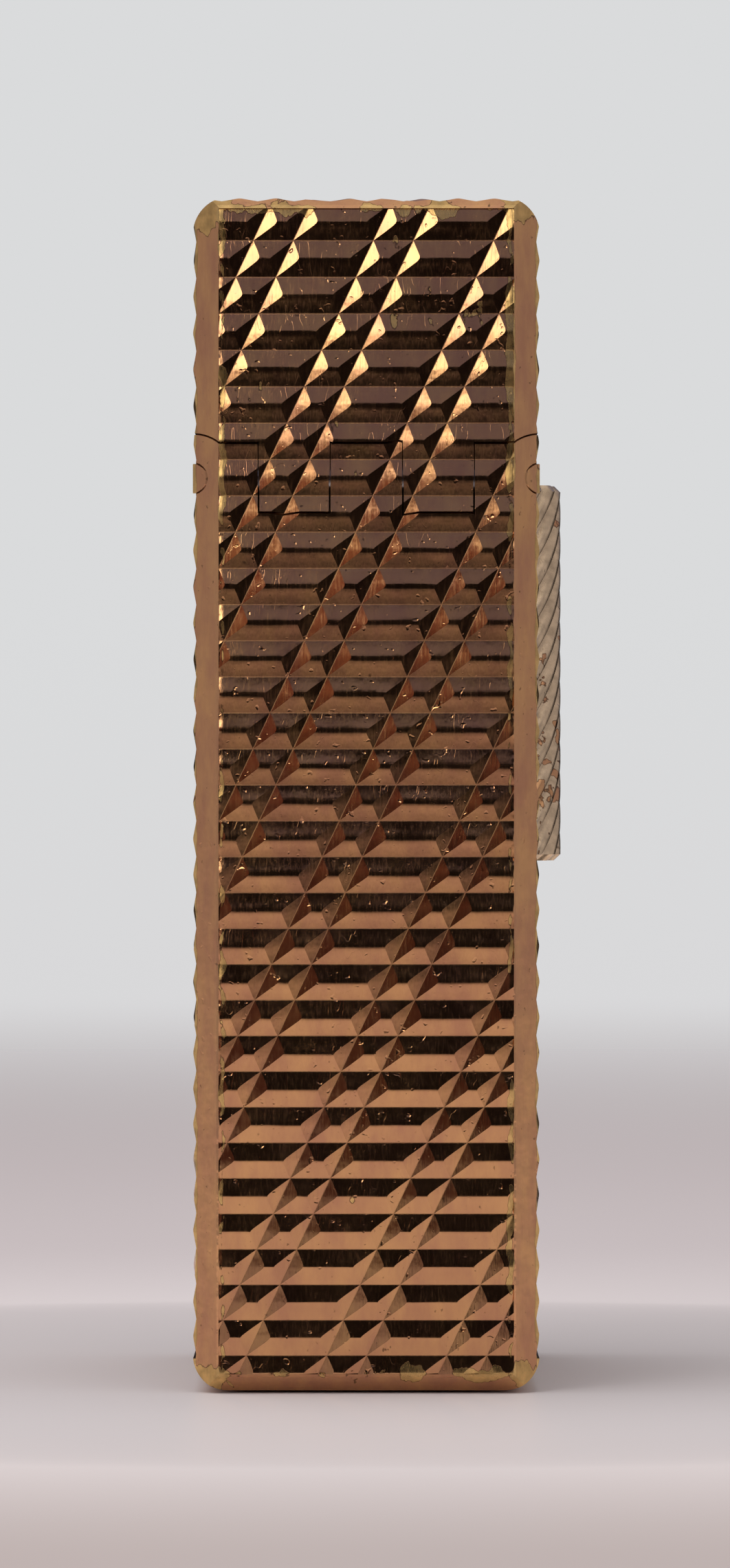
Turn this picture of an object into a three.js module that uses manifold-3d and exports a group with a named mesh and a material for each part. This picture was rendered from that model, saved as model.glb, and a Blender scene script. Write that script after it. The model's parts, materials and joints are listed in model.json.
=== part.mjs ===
// A pocket gas lighter in a flush-hinged brass case, with a side roller that spins a striker wheel.
// Millimetres, +Z up. The origin is the centre of the flat base. The hinged narrow side faces -Y,
// the roller stands out of the broad +X side, and the lid opens over the hinge towards -Y.
import * as THREE from "three";
import { mergeVertices } from "three/addons/utils/BufferGeometryUtils.js";
import Module from "manifold-3d";

const wasm = await Module();
wasm.setup();

// ---------------------------------------------------------------- driving dimensions

// Case
const HEIGHT = 46;
const THICKNESS = 13.4; // across the hinged side, along X
const WIDTH = 24; // across the broad side, along Y
const WALL = 0.8;
const EDGE_BEVEL = 1.06; // plain 45 degree bevel down the four upright edges
const TOP_BEVEL = 0.42;
const BASE_BEVEL = 0.66;
const CORNER_RADIUS = 1.35; // rounding of the long top and bottom edges
const BASE_RIM = 0.9; // inward rim at the foot of the case
const HALF_X = THICKNESS / 2;
const HALF_Y = WIDTH / 2;
const INNER_X = HALF_X - WALL;
const INNER_Y = HALF_Y - WALL;

// Flush hinge: five knuckles around one pin
const HINGE_Z = 35.2;
const HINGE_Y = -HALF_Y + 1.11;
const PIN_RADIUS = 0.6;
const PLUG_LENGTH = 1.3; // end plugs that hide the pin
const BARREL_RADIUS = 1.69;
const KNUCKLE_INNER = 1.41; // the two lid knuckles lie between these distances from the middle
const KNUCKLE_OUTER = 4.15;
const SPLIT_Z = HINGE_Z + BARREL_RADIUS; // the joint line between case and lid
const RUN_GAP = 0.07; // clearance between parts that move on each other
const FIT_GAP = 0.05; // clearance between parts that are fixed together

// Roller and striker wheel, on one upright spindle
const ROLLER = { x: 3.6, y: 6.6, radius: 4.3, bottom: 20.3, top: 35.5 };
const ROLLER_RIBS = 22;
const ROLLER_RIB_DEPTH = 0.42;
const ROLLER_SKIN = 0.9;
const SPINDLE_RADIUS = 0.8;
const PIVOT_RADIUS = 0.5;
const WHEEL = { radius: 2.0, bottom: 37.9, top: 40.3, teeth: 28 };

// Deck across the mouth of the case
const DECK_Z = 35.7;
const DECK_TOP = 36.5;
const ON_DECK = DECK_TOP + FIT_GAP;
const INSERT_X = 5.78; // half width of what drops into the case
const INSERT_BACK = -8.85;
const INSERT_FRONT = 11.0;
const INSERT_CHAMFER = 0.7;
const COLLAR_TOP = 38.0;
const COLLAR_WALL = 0.35;

// Gas tank
const TANK = { x: 5.7, back: -8.85, front: 11.0, bottom: 1.8, top: 35.6, wall: 0.75 };
const NOTCH = { x: -1.05, y: 1.9, z: 19.0 }; // corner cut out of the tank for the roller

// Burner
const BURNER = { x: -3.3, y: 4.4 };
const JET_RADIUS = 0.7;
const JET_TIP = 41.0;
const LEVER_TOP = 38.1;
const LEVER_THICKNESS = 0.45;
const LEVER_PIVOT = { y: -2.0, z: 37.88 };

// Flint, pressed along Y against the back of the striker wheel
const FLINT = { x: ROLLER.x, z: 39.1, radius: 0.85 };
const FLINT_BORE = 0.95;

// Base fittings
const FILLER = { x: 0, y: -5.2 };
const ADJUSTER_RADIUS = 1.2;
const BASE_SCREWS = [
  [3.4, 9.0],
  [-3.4, -7.4],
];
const DECK_SCREWS = [
  [0, -7.2],
  [-3.4, 9.3],
];
const BRIDGE_SCREW = [1.1, 9.7];

// Facets round a cylinder
const FINE = 24;
const COARSE = 16;

// ---------------------------------------------------------------- materials

const material = (color, roughness, metalness) =>
  new THREE.MeshStandardMaterial({ color, roughness, metalness });
const ROSE_GOLD = material(0xb87e58, 0.28, 1.0);
const BRASS = material(0xb59a4e, 0.35, 1.0);
const STEEL = material(0xb4b6b8, 0.3, 1.0);
const SPRING_STEEL = material(0x8b8d90, 0.35, 1.0);
const NICKEL = material(0xc9c6be, 0.25, 1.0);
const RUBBER = material(0x1c1c1d, 0.8, 0.0);
const FERRO = material(0x4a4846, 0.6, 0.6);

// ---------------------------------------------------------------- solids from three.js geometry

function solid(geometry) {
  const loose = geometry.index ? geometry.toNonIndexed() : geometry;
  const bare = new THREE.BufferGeometry().setAttribute("position", loose.getAttribute("position"));
  const merged = mergeVertices(bare, 1e-4);
  return new wasm.Manifold(
    new wasm.Mesh({
      numProp: 3,
      vertProperties: merged.attributes.position.array,
      triVerts: new Uint32Array(merged.index.array),
    }),
  );
}

function geometryOf(manifold) {
  const mesh = manifold.getMesh();
  return new THREE.BufferGeometry()
    .setAttribute("position", new THREE.BufferAttribute(mesh.vertProperties, 3))
    .setIndex(new THREE.BufferAttribute(mesh.triVerts, 1));
}

// A block between two corners.
function block(low, high) {
  const size = high.map((value, i) => value - low[i]);
  const middle = high.map((value, i) => (value + low[i]) / 2);
  return solid(new THREE.BoxGeometry(...size).translate(...middle));
}

// A round bar along an axis: its other two coordinates are given in X, Y, Z order.
function bar(axis, radius, from, to, [u, v], facets = COARSE, endRadius = radius) {
  const geometry = new THREE.CylinderGeometry(endRadius, radius, to - from, facets);
  const middle = (from + to) / 2;
  if (axis === "x") geometry.rotateZ(-Math.PI / 2).translate(middle, u, v);
  if (axis === "y") geometry.translate(u, middle, v);
  if (axis === "z") geometry.rotateX(Math.PI / 2).translate(u, v, middle);
  return solid(geometry);
}

function ring(outer, inner, from, to, at, facets = FINE) {
  return bar("z", outer, from, to, at, facets).subtract(bar("z", inner, from - 1, to + 1, at, facets));
}

// An outline in the XY plane, raised along Z.
function plate(shape, from, to) {
  const settings = { depth: to - from, bevelEnabled: false, curveSegments: 6 };
  return solid(new THREE.ExtrudeGeometry(shape, settings).translate(0, 0, from));
}

// An outline in the YZ plane, drawn out along X.
function sidePlate(shape, from, to) {
  const settings = { depth: to - from, bevelEnabled: false, curveSegments: 6 };
  const turn = new THREE.Matrix4().set(0, 0, 1, from, 1, 0, 0, 0, 0, 1, 0, 0, 0, 0, 0, 1);
  return solid(new THREE.ExtrudeGeometry(shape, settings).applyMatrix4(turn));
}

// An outline in the XZ plane, drawn out along Y.
function frontPlate(shape, from, to) {
  const settings = { depth: to - from, bevelEnabled: false, curveSegments: 6 };
  const geometry = new THREE.ExtrudeGeometry(shape, settings);
  return solid(geometry.rotateX(Math.PI / 2).translate(0, to, 0));
}

function outline(points) {
  return new THREE.Shape(points.map(([u, v]) => new THREE.Vector2(u, v)));
}

// A rectangle with its four corners cut at 45 degrees.
function chamfered(low, high, cutLow, cutHigh = cutLow) {
  const [u0, v0] = low;
  const [u1, v1] = high;
  return outline([
    [u0 + cutLow, v0],
    [u1 - cutLow, v0],
    [u1, v0 + cutLow],
    [u1, v1 - cutHigh],
    [u1 - cutHigh, v1],
    [u0 + cutHigh, v1],
    [u0, v1 - cutHigh],
    [u0, v0 + cutLow],
  ]);
}

function rounded(low, high, radius) {
  const [u0, v0] = low;
  const [u1, v1] = high;
  const shape = new THREE.Shape();
  shape.absarc(u1 - radius, v0 + radius, radius, -Math.PI / 2, 0);
  shape.absarc(u1 - radius, v1 - radius, radius, 0, Math.PI / 2);
  shape.absarc(u0 + radius, v1 - radius, radius, Math.PI / 2, Math.PI);
  shape.absarc(u0 + radius, v0 + radius, radius, Math.PI, (3 * Math.PI) / 2);
  return shape;
}

// A coil spring whose centreline winds round an axis, with its ends at the given heights.
function coil(axis, [u, v], from, to, radius, wire, turns) {
  class Helix extends THREE.Curve {
    getPoint(t, target = new THREE.Vector3()) {
      const angle = 2 * Math.PI * turns * t;
      const along = from + wire + (to - from - 2 * wire) * t;
      const side = [radius * Math.cos(angle), radius * Math.sin(angle)];
      if (axis === "y") return target.set(u + side[1], along, v + side[0]);
      return target.set(u + side[0], v + side[1], along);
    }
  }
  const section = new THREE.Shape();
  section.absarc(0, 0, wire, 0, 2 * Math.PI);
  const settings = { steps: turns * 10, extrudePath: new Helix(), curveSegments: 3, bevelEnabled: false };
  return solid(new THREE.ExtrudeGeometry(section, settings));
}

const group = new THREE.Group();

function add(name, manifold, finish, parent = group) {
  const mesh = new THREE.Mesh(geometryOf(manifold), finish);
  mesh.name = name;
  parent.add(mesh);
  return mesh;
}

// ---------------------------------------------------------------- case and lid

// The closed case from outside: front, plan and side outlines cut into each other.
function envelope() {
  const front = rounded([-HALF_X, 0], [HALF_X, HEIGHT], CORNER_RADIUS);
  const plan = chamfered([-HALF_X, -HALF_Y], [HALF_X, HALF_Y], EDGE_BEVEL);
  const side = chamfered([-HALF_Y, 0], [HALF_Y, HEIGHT], BASE_BEVEL, TOP_BEVEL);
  return frontPlate(front, -HALF_Y - 1, HALF_Y + 1)
    .intersect(plate(plan, -1, HEIGHT + 1))
    .intersect(sidePlate(side, -HALF_X - 1, HALF_X + 1));
}

function hollow(from, to) {
  const plan = chamfered([-INNER_X, -INNER_Y], [INNER_X, INNER_Y], INSERT_CHAMFER);
  return plate(plan, from, to);
}

const barrel = (radius, from, to) => bar("x", radius, from, to, [HINGE_Y, HINGE_Z], 64);

// The two stretches of the hinge line that belong to the lid, wider by a margin on each side.
function lidColumns(make, margin) {
  const from = KNUCKLE_INNER - margin;
  const to = KNUCKLE_OUTER + margin;
  return make(from, to).add(make(-to, -from));
}

function bodyShell() {
  const far = HALF_X + 1;
  const deep = HALF_Y + 1;
  const below = block([-far, -deep, -1], [far, deep, HINGE_Z])
    .add(barrel(BARREL_RADIUS, -far, far))
    .add(block([-far, HINGE_Y, 0], [far, deep, SPLIT_Z]));
  const leaf = block([-far, -deep, 31.8], [far, -9.1, SPLIT_Z + 1]);
  const leafRelief = lidColumns((a, b) => block([a, -10.45, 31], [b, -9, SPLIT_Z + 1]), RUN_GAP);
  const cavity = hollow(BASE_RIM, SPLIT_Z + 1).subtract(leaf.subtract(leafRelief));
  const knuckleGap = lidColumns(
    (a, b) =>
      barrel(BARREL_RADIUS + RUN_GAP, a, b).add(
        block([a, -deep, HINGE_Z], [b, HINGE_Y + BARREL_RADIUS + RUN_GAP, HEIGHT]),
      ),
    RUN_GAP / 2,
  );
  const mouth = block([-4.9, -10.6, -1], [4.9, 10.6, BASE_RIM + 0.1]);
  const window = bar(
    "z",
    ROLLER.radius + 0.2,
    ROLLER.bottom - 0.25,
    ROLLER.top + 0.25,
    [ROLLER.x, ROLLER.y],
    64,
  );
  return envelope()
    .intersect(below)
    .subtract(cavity)
    .subtract(knuckleGap)
    .subtract(mouth)
    .subtract(window)
    .subtract(bar("x", PIN_RADIUS + 0.04, -far, far, [HINGE_Y, HINGE_Z], FINE));
}

function lidShell() {
  const far = HALF_X + 1;
  const deep = HALF_Y + 1;
  const above = block([-far, -deep, HINGE_Z], [far, deep, HEIGHT + 1]).subtract(
    block([-far, HINGE_Y, HINGE_Z - 1], [far, deep, SPLIT_Z + RUN_GAP]),
  );
  const bodyKnuckles = barrel(BARREL_RADIUS + RUN_GAP, -KNUCKLE_INNER, KNUCKLE_INNER)
    .add(barrel(BARREL_RADIUS + RUN_GAP, KNUCKLE_OUTER, far))
    .add(barrel(BARREL_RADIUS + RUN_GAP, -far, -KNUCKLE_OUTER));
  const knuckles = lidColumns((a, b) => barrel(BARREL_RADIUS, a, b), -RUN_GAP / 2);
  const leaf = block([-far, -deep, HINGE_Z], [far, -9.6, 38.4]);
  const cavity = hollow(HINGE_Z - 4, HEIGHT - WALL).subtract(leaf).subtract(knuckles);
  return envelope()
    .intersect(above.subtract(bodyKnuckles).add(knuckles))
    .subtract(cavity)
    .subtract(bar("x", PIN_RADIUS + 0.04, -far, far, [HINGE_Y, HINGE_Z], FINE));
}

function addHingePins() {
  const pin = (from, to) => bar("x", PIN_RADIUS, from, to, [HINGE_Y, HINGE_Z], FINE);
  const inner = HALF_X - PLUG_LENGTH;
  add("hinge_pin", pin(-inner, inner), STEEL);
  add("pin_plug_right", pin(inner + FIT_GAP, HALF_X + 1).intersect(envelope()), BRASS);
  add("pin_plug_left", pin(-HALF_X - 1, -inner - FIT_GAP).intersect(envelope()), BRASS);
}

// A forked leaf that presses up under the two lid knuckles and snaps the lid open or shut.
function addLidSpring() {
  const back = -10.25;
  const front = -9.9;
  const root = block([-3.9, back, 17.5], [3.9, front, 27]);
  const prong = (a, b) => block([a, back, 26], [b, front, 33.3]).add(block([a, back, 33.0], [b, -9.4, 33.35]));
  const hole = bar("y", 0.66, back - 1, front + 1, [0, 20]);
  add("lid_spring", lidColumns(prong, -0.35).add(root).subtract(hole), SPRING_STEEL);
  const head = bar("y", 1.2, front + FIT_GAP, front + 0.75, [0, 20], FINE);
  const slot = block([-1.5, front + 0.45, 19.8], [1.5, front + 1, 20.2]);
  const shank = bar("y", 0.6, -INNER_Y + FIT_GAP, front + 0.1, [0, 20]);
  add("lid_spring_screw", head.subtract(slot).add(shank), STEEL);
}

// ---------------------------------------------------------------- base fittings

function addBase() {
  const boss = block([-4.85, -10.55, 0], [4.85, 10.55, 1.2]);
  const flange = plate(chamfered([-5.7, -11], [5.7, 11], INSERT_CHAMFER), BASE_RIM + FIT_GAP, 1.7);
  const screwHole = (at) => bar("z", 0.95, -1, 0.9, at).add(bar("z", 0.55, 0, 2, at));
  let base = boss
    .add(flange)
    .subtract(bar("z", 2.5, -1, 2, [FILLER.x, FILLER.y], FINE))
    .subtract(bar("z", ADJUSTER_RADIUS + 0.1, -1, 2, [BURNER.x, BURNER.y], FINE));
  BASE_SCREWS.forEach((at) => (base = base.subtract(screwHole(at))));
  add("base_plate", base, ROSE_GOLD);
  const slot = block([-1, -0.14, 0], [1, 0.14, 0.4]);
  const screw = bar("z", 0.88, 0.12, 0.85, [0, 0])
    .add(bar("z", 0.5, 0.8, 3.0, [0, 0]))
    .subtract(slot);
  BASE_SCREWS.forEach(([x, y], i) => {
    add("base_screw_" + (i + 1), screw, STEEL).position.set(x, y, 0);
  });
}

function addFiller() {
  const at = [FILLER.x, FILLER.y];
  const valve = bar("z", 2.4, 0.3, 1.65, at, FINE)
    .add(bar("z", 1.85, 1.6, 8, at, FINE))
    .subtract(bar("z", 0.64, 0, 3, at, FINE))
    .subtract(bar("z", 0.92, 2.3, 7.2, at, FINE))
    .subtract(bar("z", 0.4, 7, 9, at));
  add("filler_valve", valve, BRASS);
  const stem = bar("z", 0.57, 0.5, 2.5, at, FINE)
    .add(bar("z", 0.84, 2.36, 2.8, at, FINE))
    .add(bar("z", 0.36, 2.7, 4.6, at))
    .subtract(bar("z", 0.2, 0, 1.5, at));
  add("filler_stem", stem, STEEL);
  add("filler_spring", coil("z", at, 2.88, 7.12, 0.68, 0.14, 5), SPRING_STEEL);
  add("filler_seal", ring(1.78, 1.2, 0.1, 0.25, at), RUBBER);
}

function addAdjuster() {
  const at = [BURNER.x, BURNER.y];
  const slot = block([at[0] - 2, at[1] - 0.2, 0], [at[0] + 2, at[1] + 0.2, 0.75]);
  const screw = bar("z", ADJUSTER_RADIUS, 0.3, 1.3, at, FINE)
    .add(bar("z", 1.0, 1.2, 3.4, at))
    .subtract(slot);
  add("flame_adjuster", screw, BRASS);
  add("adjuster_rod", bar("z", 0.45, 3.4 + FIT_GAP, 29.6, at), STEEL);
}

function gasTank() {
  const shape = (grow) => {
    const edge = TANK.x - grow;
    const cut = INSERT_CHAMFER + 0.1;
    const whole = plate(
      chamfered([-edge, TANK.back + grow], [edge, TANK.front - grow], cut),
      TANK.bottom + grow,
      TANK.top - grow,
    );
    const notch = block([NOTCH.x - grow, NOTCH.y - grow, NOTCH.z - grow], [10, 20, 60]);
    return whole.subtract(notch);
  };
  const burner = [BURNER.x, BURNER.y];
  const filler = [FILLER.x, FILLER.y];
  let tank = shape(0).subtract(shape(TANK.wall)).add(bar("z", 2.0, 2, 4.0, burner));
  BASE_SCREWS.forEach((at) => {
    tank = tank.add(bar("z", 1.35, 2, 4.2, at)).subtract(bar("z", 0.55, 1, 3.2, at));
  });
  DECK_SCREWS.forEach((at) => {
    tank = tank.add(bar("z", 1.35, 32.6, 35, at)).subtract(bar("z", 0.66, 33.4, 40, at));
  });
  return tank
    .subtract(bar("z", 1.9, 1, 3.5, filler, FINE))
    .subtract(bar("z", 1.06, 1, 5, burner))
    .subtract(bar("z", 1.46, 33, 40, burner, FINE));
}

// ---------------------------------------------------------------- deck and what stands on it

function addDeck() {
  const plan = chamfered([-INSERT_X, INSERT_BACK], [INSERT_X, INSERT_FRONT], INSERT_CHAMFER);
  let deck = plate(plan, DECK_Z, DECK_TOP)
    .subtract(bar("z", 1.46, 30, 40, [BURNER.x, BURNER.y], FINE))
    .subtract(bar("z", SPINDLE_RADIUS + 0.06, 30, 40, [ROLLER.x, ROLLER.y], FINE))
    .subtract(bar("z", 0.46, 30, 40, BRIDGE_SCREW));
  DECK_SCREWS.forEach((at) => (deck = deck.subtract(bar("z", 0.66, 30, 40, at))));
  add("deck", deck, BRASS);

  const front = 10.9;
  const wall = COLLAR_WALL;
  const outside = plate(
    chamfered([-INSERT_X, INSERT_BACK], [INSERT_X, front], INSERT_CHAMFER),
    ON_DECK,
    COLLAR_TOP,
  );
  const inside = plate(
    chamfered([-INSERT_X + wall, INSERT_BACK + wall], [INSERT_X - wall, front - wall], INSERT_CHAMFER - 0.1),
    0,
    HEIGHT,
  );
  add("rim_collar", outside.subtract(inside), ROSE_GOLD);

  const slot = block([-1.5, -0.16, ON_DECK + 0.35], [1.5, 0.16, ON_DECK + 1]);
  const screw = bar("z", 1.05, ON_DECK, ON_DECK + 0.65, [0, 0])
    .add(bar("z", 0.6, 33.6, ON_DECK + 0.1, [0, 0]))
    .subtract(slot);
  DECK_SCREWS.forEach(([x, y], i) => {
    add("deck_screw_" + (i + 1), screw, STEEL).position.set(x, y, 0);
  });
}

function addBurner() {
  const at = [BURNER.x, BURNER.y];
  const valve = bar("z", 1.4, 30, ON_DECK + 0.1, at, FINE)
    .add(bar("z", 1.65, ON_DECK, 37.3, at, 6))
    .subtract(bar("z", JET_RADIUS + 0.05, 31.5, 40, at, FINE))
    .subtract(bar("z", 0.3, 29, 32, at));
  add("burner_valve", valve, BRASS);
  const jet = bar("z", JET_RADIUS, 33, 40.2, at, FINE)
    .add(bar("z", 1.2, LEVER_TOP + 0.12, LEVER_TOP + 0.6, at, FINE))
    .add(bar("z", JET_RADIUS, 40.2, JET_TIP, at, FINE, 0.45))
    .subtract(bar("z", 0.18, 39.5, 42, at, 12));
  add("burner_jet", jet, BRASS);
}

function addLever() {
  const bottom = LEVER_TOP - LEVER_THICKNESS;
  const { y, z } = LEVER_PIVOT;
  const slot = 0.85;
  const lever = block([BURNER.x - 1.1, -5.8, bottom], [BURNER.x + 1.1, 2.8, LEVER_TOP])
    .add(block([BURNER.x - 1.35, 2.4, bottom], [BURNER.x + 1.35, 5.5, LEVER_TOP]))
    .add(bar("x", 0.72, BURNER.x - 1.1, BURNER.x + 1.1, [y, z], FINE))
    .subtract(block([BURNER.x - slot, 3.4, 0], [BURNER.x + slot, 9, HEIGHT]))
    .subtract(bar("x", 0.4, -9, 2, [y, z], COARSE));
  add("jet_lever", lever, STEEL);

  const half = 1.65;
  const ear = (a, b) =>
    block([a, y - 0.8, ON_DECK], [b, y + 0.8, z]).add(bar("x", 0.8, a, b, [y, z], FINE));
  const bracket = block([BURNER.x - half, y - 0.8, ON_DECK], [BURNER.x + half, y + 0.8, ON_DECK + 0.3])
    .add(ear(BURNER.x - half, BURNER.x - half + 0.42))
    .add(ear(BURNER.x + half - 0.42, BURNER.x + half))
    .subtract(bar("x", 0.37, -9, 2, [y, z], COARSE));
  add("lever_bracket", bracket, BRASS);
  add("lever_pin", bar("x", 0.33, BURNER.x - half - 0.2, BURNER.x + half + 0.2, [y, z]), STEEL);
  add("lever_spring", coil("z", [BURNER.x, 0.4], ON_DECK + 0.02, bottom - 0.05, 0.58, 0.11, 3), SPRING_STEEL);
}

// A thin screen round three sides of the burner, open towards the striker wheel.
function windGuard() {
  const [x0, x1, y0, y1, top] = [-5.35, -0.9, 1.7, 7.1, 42.6];
  const sheet = 0.3;
  const plan = chamfered([x0, y0], [x1 + 2, y1], 0.6);
  const inner = chamfered([x0 + sheet, y0 + sheet], [x1 + 3, y1 - sheet], 0.5);
  let guard = plate(plan, ON_DECK, top)
    .subtract(plate(inner, 0, HEIGHT))
    .subtract(block([x1, y0 - 1, 0], [x1 + 4, y1 + 1, HEIGHT]))
    .subtract(block([BURNER.x - 1.3, y0 - 1, 0], [BURNER.x + 1.3, y0 + 1, 39.2]));
  const holeRadius = 0.34;
  for (let row = 0; row < 3; row++) {
    const z = 38.6 + row * 1.3;
    for (let i = 0; i < 3; i++)
      guard = guard.subtract(bar("x", holeRadius, x0 - 1, x0 + 1, [3.1 + i * 1.3, z], 8));
    for (let i = 0; i < 2; i++)
      guard = guard.subtract(bar("y", holeRadius, y1 - 1, y1 + 1, [-3.8 + i * 1.4, z], 8));
  }
  return guard;
}

function addFlintFeed() {
  const at = [FLINT.x, FLINT.z];
  const wheelBack = ROLLER.y - WHEEL.radius;
  const foot = (a, b) => block([FLINT.x - 0.9, a, ON_DECK], [FLINT.x + 0.9, b, FLINT.z - 0.9]);
  const tube = bar("y", 1.3, -7.2, 4.0, at, FINE)
    .add(foot(-6, -4.2))
    .add(foot(0.8, 2.6))
    .subtract(bar("y", FLINT_BORE, -8, 5, at, FINE));
  add("flint_tube", tube, BRASS);
  add("flint", bar("y", FLINT.radius, 1.1, wheelBack - 0.12, at, FINE), FERRO);
  const pusher = bar("y", FLINT.radius, 0.3, 1.05, at, FINE).add(bar("y", 0.34, -2.6, 0.4, at));
  add("flint_pusher", pusher, STEEL);
  add("flint_spring", coil("y", at, -5.3, 0.22, 0.72, 0.13, 6), SPRING_STEEL);
  const slot = block([FLINT.x - 2, -9, FLINT.z - 0.16], [FLINT.x + 2, -7.75, FLINT.z + 0.16]);
  const screw = bar("y", 0.9, -7.3, -5.4, at, FINE)
    .add(bar("y", 1.2, -8.05, -7.25, at, FINE))
    .subtract(slot);
  add("flint_screw", screw, STEEL);
}

// ---------------------------------------------------------------- roller, spindle and striker wheel

// The roller's outside: shallow ribs that climb to the right as they go round it.
function ribbedDrum() {
  const { radius, bottom, top } = ROLLER;
  const shape = new THREE.Shape();
  for (let i = 0; i < ROLLER_RIBS; i++) {
    const pitch = (2 * Math.PI) / ROLLER_RIBS;
    [
      [radius - ROLLER_RIB_DEPTH, 0],
      [radius, 0.36],
      [radius, 0.64],
    ].forEach(([r, share]) => {
      const angle = (i + share) * pitch;
      const [u, v] = [r * Math.cos(angle), r * Math.sin(angle)];
      if (shape.curves.length || shape.currentPoint.lengthSq()) shape.lineTo(u, v);
      else shape.moveTo(u, v);
    });
  }
  const length = top - bottom;
  const settings = { depth: length, steps: 8, bevelEnabled: false };
  const geometry = new THREE.ExtrudeGeometry(shape, settings);
  const position = geometry.getAttribute("position");
  const point = new THREE.Vector3();
  for (let i = 0; i < position.count; i++) {
    point.fromBufferAttribute(position, i);
    point.applyAxisAngle(new THREE.Vector3(0, 0, 1), point.z / radius);
    position.setXYZ(i, point.x, point.y, point.z);
  }
  return solid(geometry.translate(0, 0, bottom));
}

function addRollerGroup() {
  const turning = new THREE.Group();
  turning.position.set(ROLLER.x, ROLLER.y, 0);
  group.add(turning);
  const middle = [0, 0];
  const bore = SPINDLE_RADIUS + 0.04;
  const drum = ribbedDrum()
    .subtract(bar("z", ROLLER.radius - ROLLER_SKIN, ROLLER.bottom + 0.9, ROLLER.top - 0.9, middle, FINE))
    .subtract(bar("z", bore, 0, HEIGHT, middle, FINE));
  add("roller", drum, ROSE_GOLD, turning);

  const spindle = bar("z", SPINDLE_RADIUS, 20.25, 40.45, middle, FINE)
    .add(bar("z", PIVOT_RADIUS, 19.2, 41.4, middle, FINE));
  add("spindle", spindle, STEEL, turning);

  const shape = new THREE.Shape();
  for (let i = 0; i < WHEEL.teeth; i++) {
    const pitch = (2 * Math.PI) / WHEEL.teeth;
    const [root, tip] = [i * pitch, (i + 0.75) * pitch];
    const inner = WHEEL.radius - 0.22;
    if (i) shape.lineTo(inner * Math.cos(root), inner * Math.sin(root));
    else shape.moveTo(inner, 0);
    shape.lineTo(WHEEL.radius * Math.cos(tip), WHEEL.radius * Math.sin(tip));
  }
  const wheel = plate(shape, WHEEL.bottom, WHEEL.top)
    .add(bar("z", 1.25, WHEEL.bottom - 0.6, WHEEL.top + 0.2, middle, FINE))
    .subtract(bar("z", bore, 0, HEIGHT, middle, FINE));
  add("striker_wheel", wheel, STEEL, turning);
}

function addBearings() {
  const at = [ROLLER.x, ROLLER.y];
  const pivotHole = bar("z", PIVOT_RADIUS + 0.05, 0, HEIGHT, at, FINE);
  const lower = plate(chamfered([-0.85, 2.1], [5.7, 10.95], INSERT_CHAMFER), NOTCH.z + FIT_GAP, 19.9)
    .add(bar("z", 1.5, 19.5, 20.15, at, FINE))
    .subtract(pivotHole);
  add("lower_bearing", lower, BRASS);

  const arm = block([2.6, 5.6, 40.75], [4.6, 9.7, 41.35]).add(bar("z", 1.0, 40.75, 41.35, at, FINE));
  const post = block([2.2, 9.0, ON_DECK], [5.0, 9.7, 41.35]);
  const foot = block([0.2, 9.0, ON_DECK], [2.4, 10.4, ON_DECK + 0.55]);
  const bridge = arm.add(post).add(foot).subtract(pivotHole).subtract(bar("z", 0.46, 30, 38, BRIDGE_SCREW));
  add("striker_bridge", bridge, STEEL);
  const top = ON_DECK + 0.55 + FIT_GAP;
  const slot = block([0, 9.58, top + 0.25], [2.2, 9.82, top + 1]);
  const screw = bar("z", 0.72, top, top + 0.45, BRIDGE_SCREW)
    .add(bar("z", 0.4, DECK_Z + 0.05, top + 0.1, BRIDGE_SCREW))
    .subtract(slot);
  add("bridge_screw", screw, STEEL);
}

// ---------------------------------------------------------------- inside the lid

function addLidInside() {
  const at = [BURNER.x, BURNER.y];
  const liner = plate(chamfered([-5.7, -9.3], [5.7, 11.0], INSERT_CHAMFER), 44.5, HEIGHT - WALL - FIT_GAP)
    .add(bar("z", 1.8, 43.4, 44.6, at, FINE));
  add("lid_liner", liner, BRASS);
  add("snuffer_pad", bar("z", 1.2, JET_TIP + 0.12, 43.4 - FIT_GAP, at, FINE), RUBBER);
}

add("body_shell", bodyShell(), ROSE_GOLD);
add("lid_shell", lidShell(), ROSE_GOLD);
addHingePins();
addLidSpring();
addBase();
addFiller();
addAdjuster();
add("gas_tank", gasTank(), BRASS);
addDeck();
addBurner();
addLever();
add("wind_guard", windGuard(), NICKEL);
addFlintFeed();
addRollerGroup();
addBearings();
addLidInside();

export default group;
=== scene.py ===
"""A pocket gas lighter in an engine-turned, rose-gold plated brass case, built round its CAD frame.

Every piece ends in metres and in the frame's own place: +Z up, the hinged narrow side towards -Y, the roller
out of the +X side. Shapes are worked out in millimetres first, on the places that the frame gives.
"""

import json
import math
from functools import partial

import bmesh
import bpy
from bpy.props import FloatProperty, FloatVectorProperty, IntProperty, PointerProperty
from mathutils import Matrix, Vector


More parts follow.
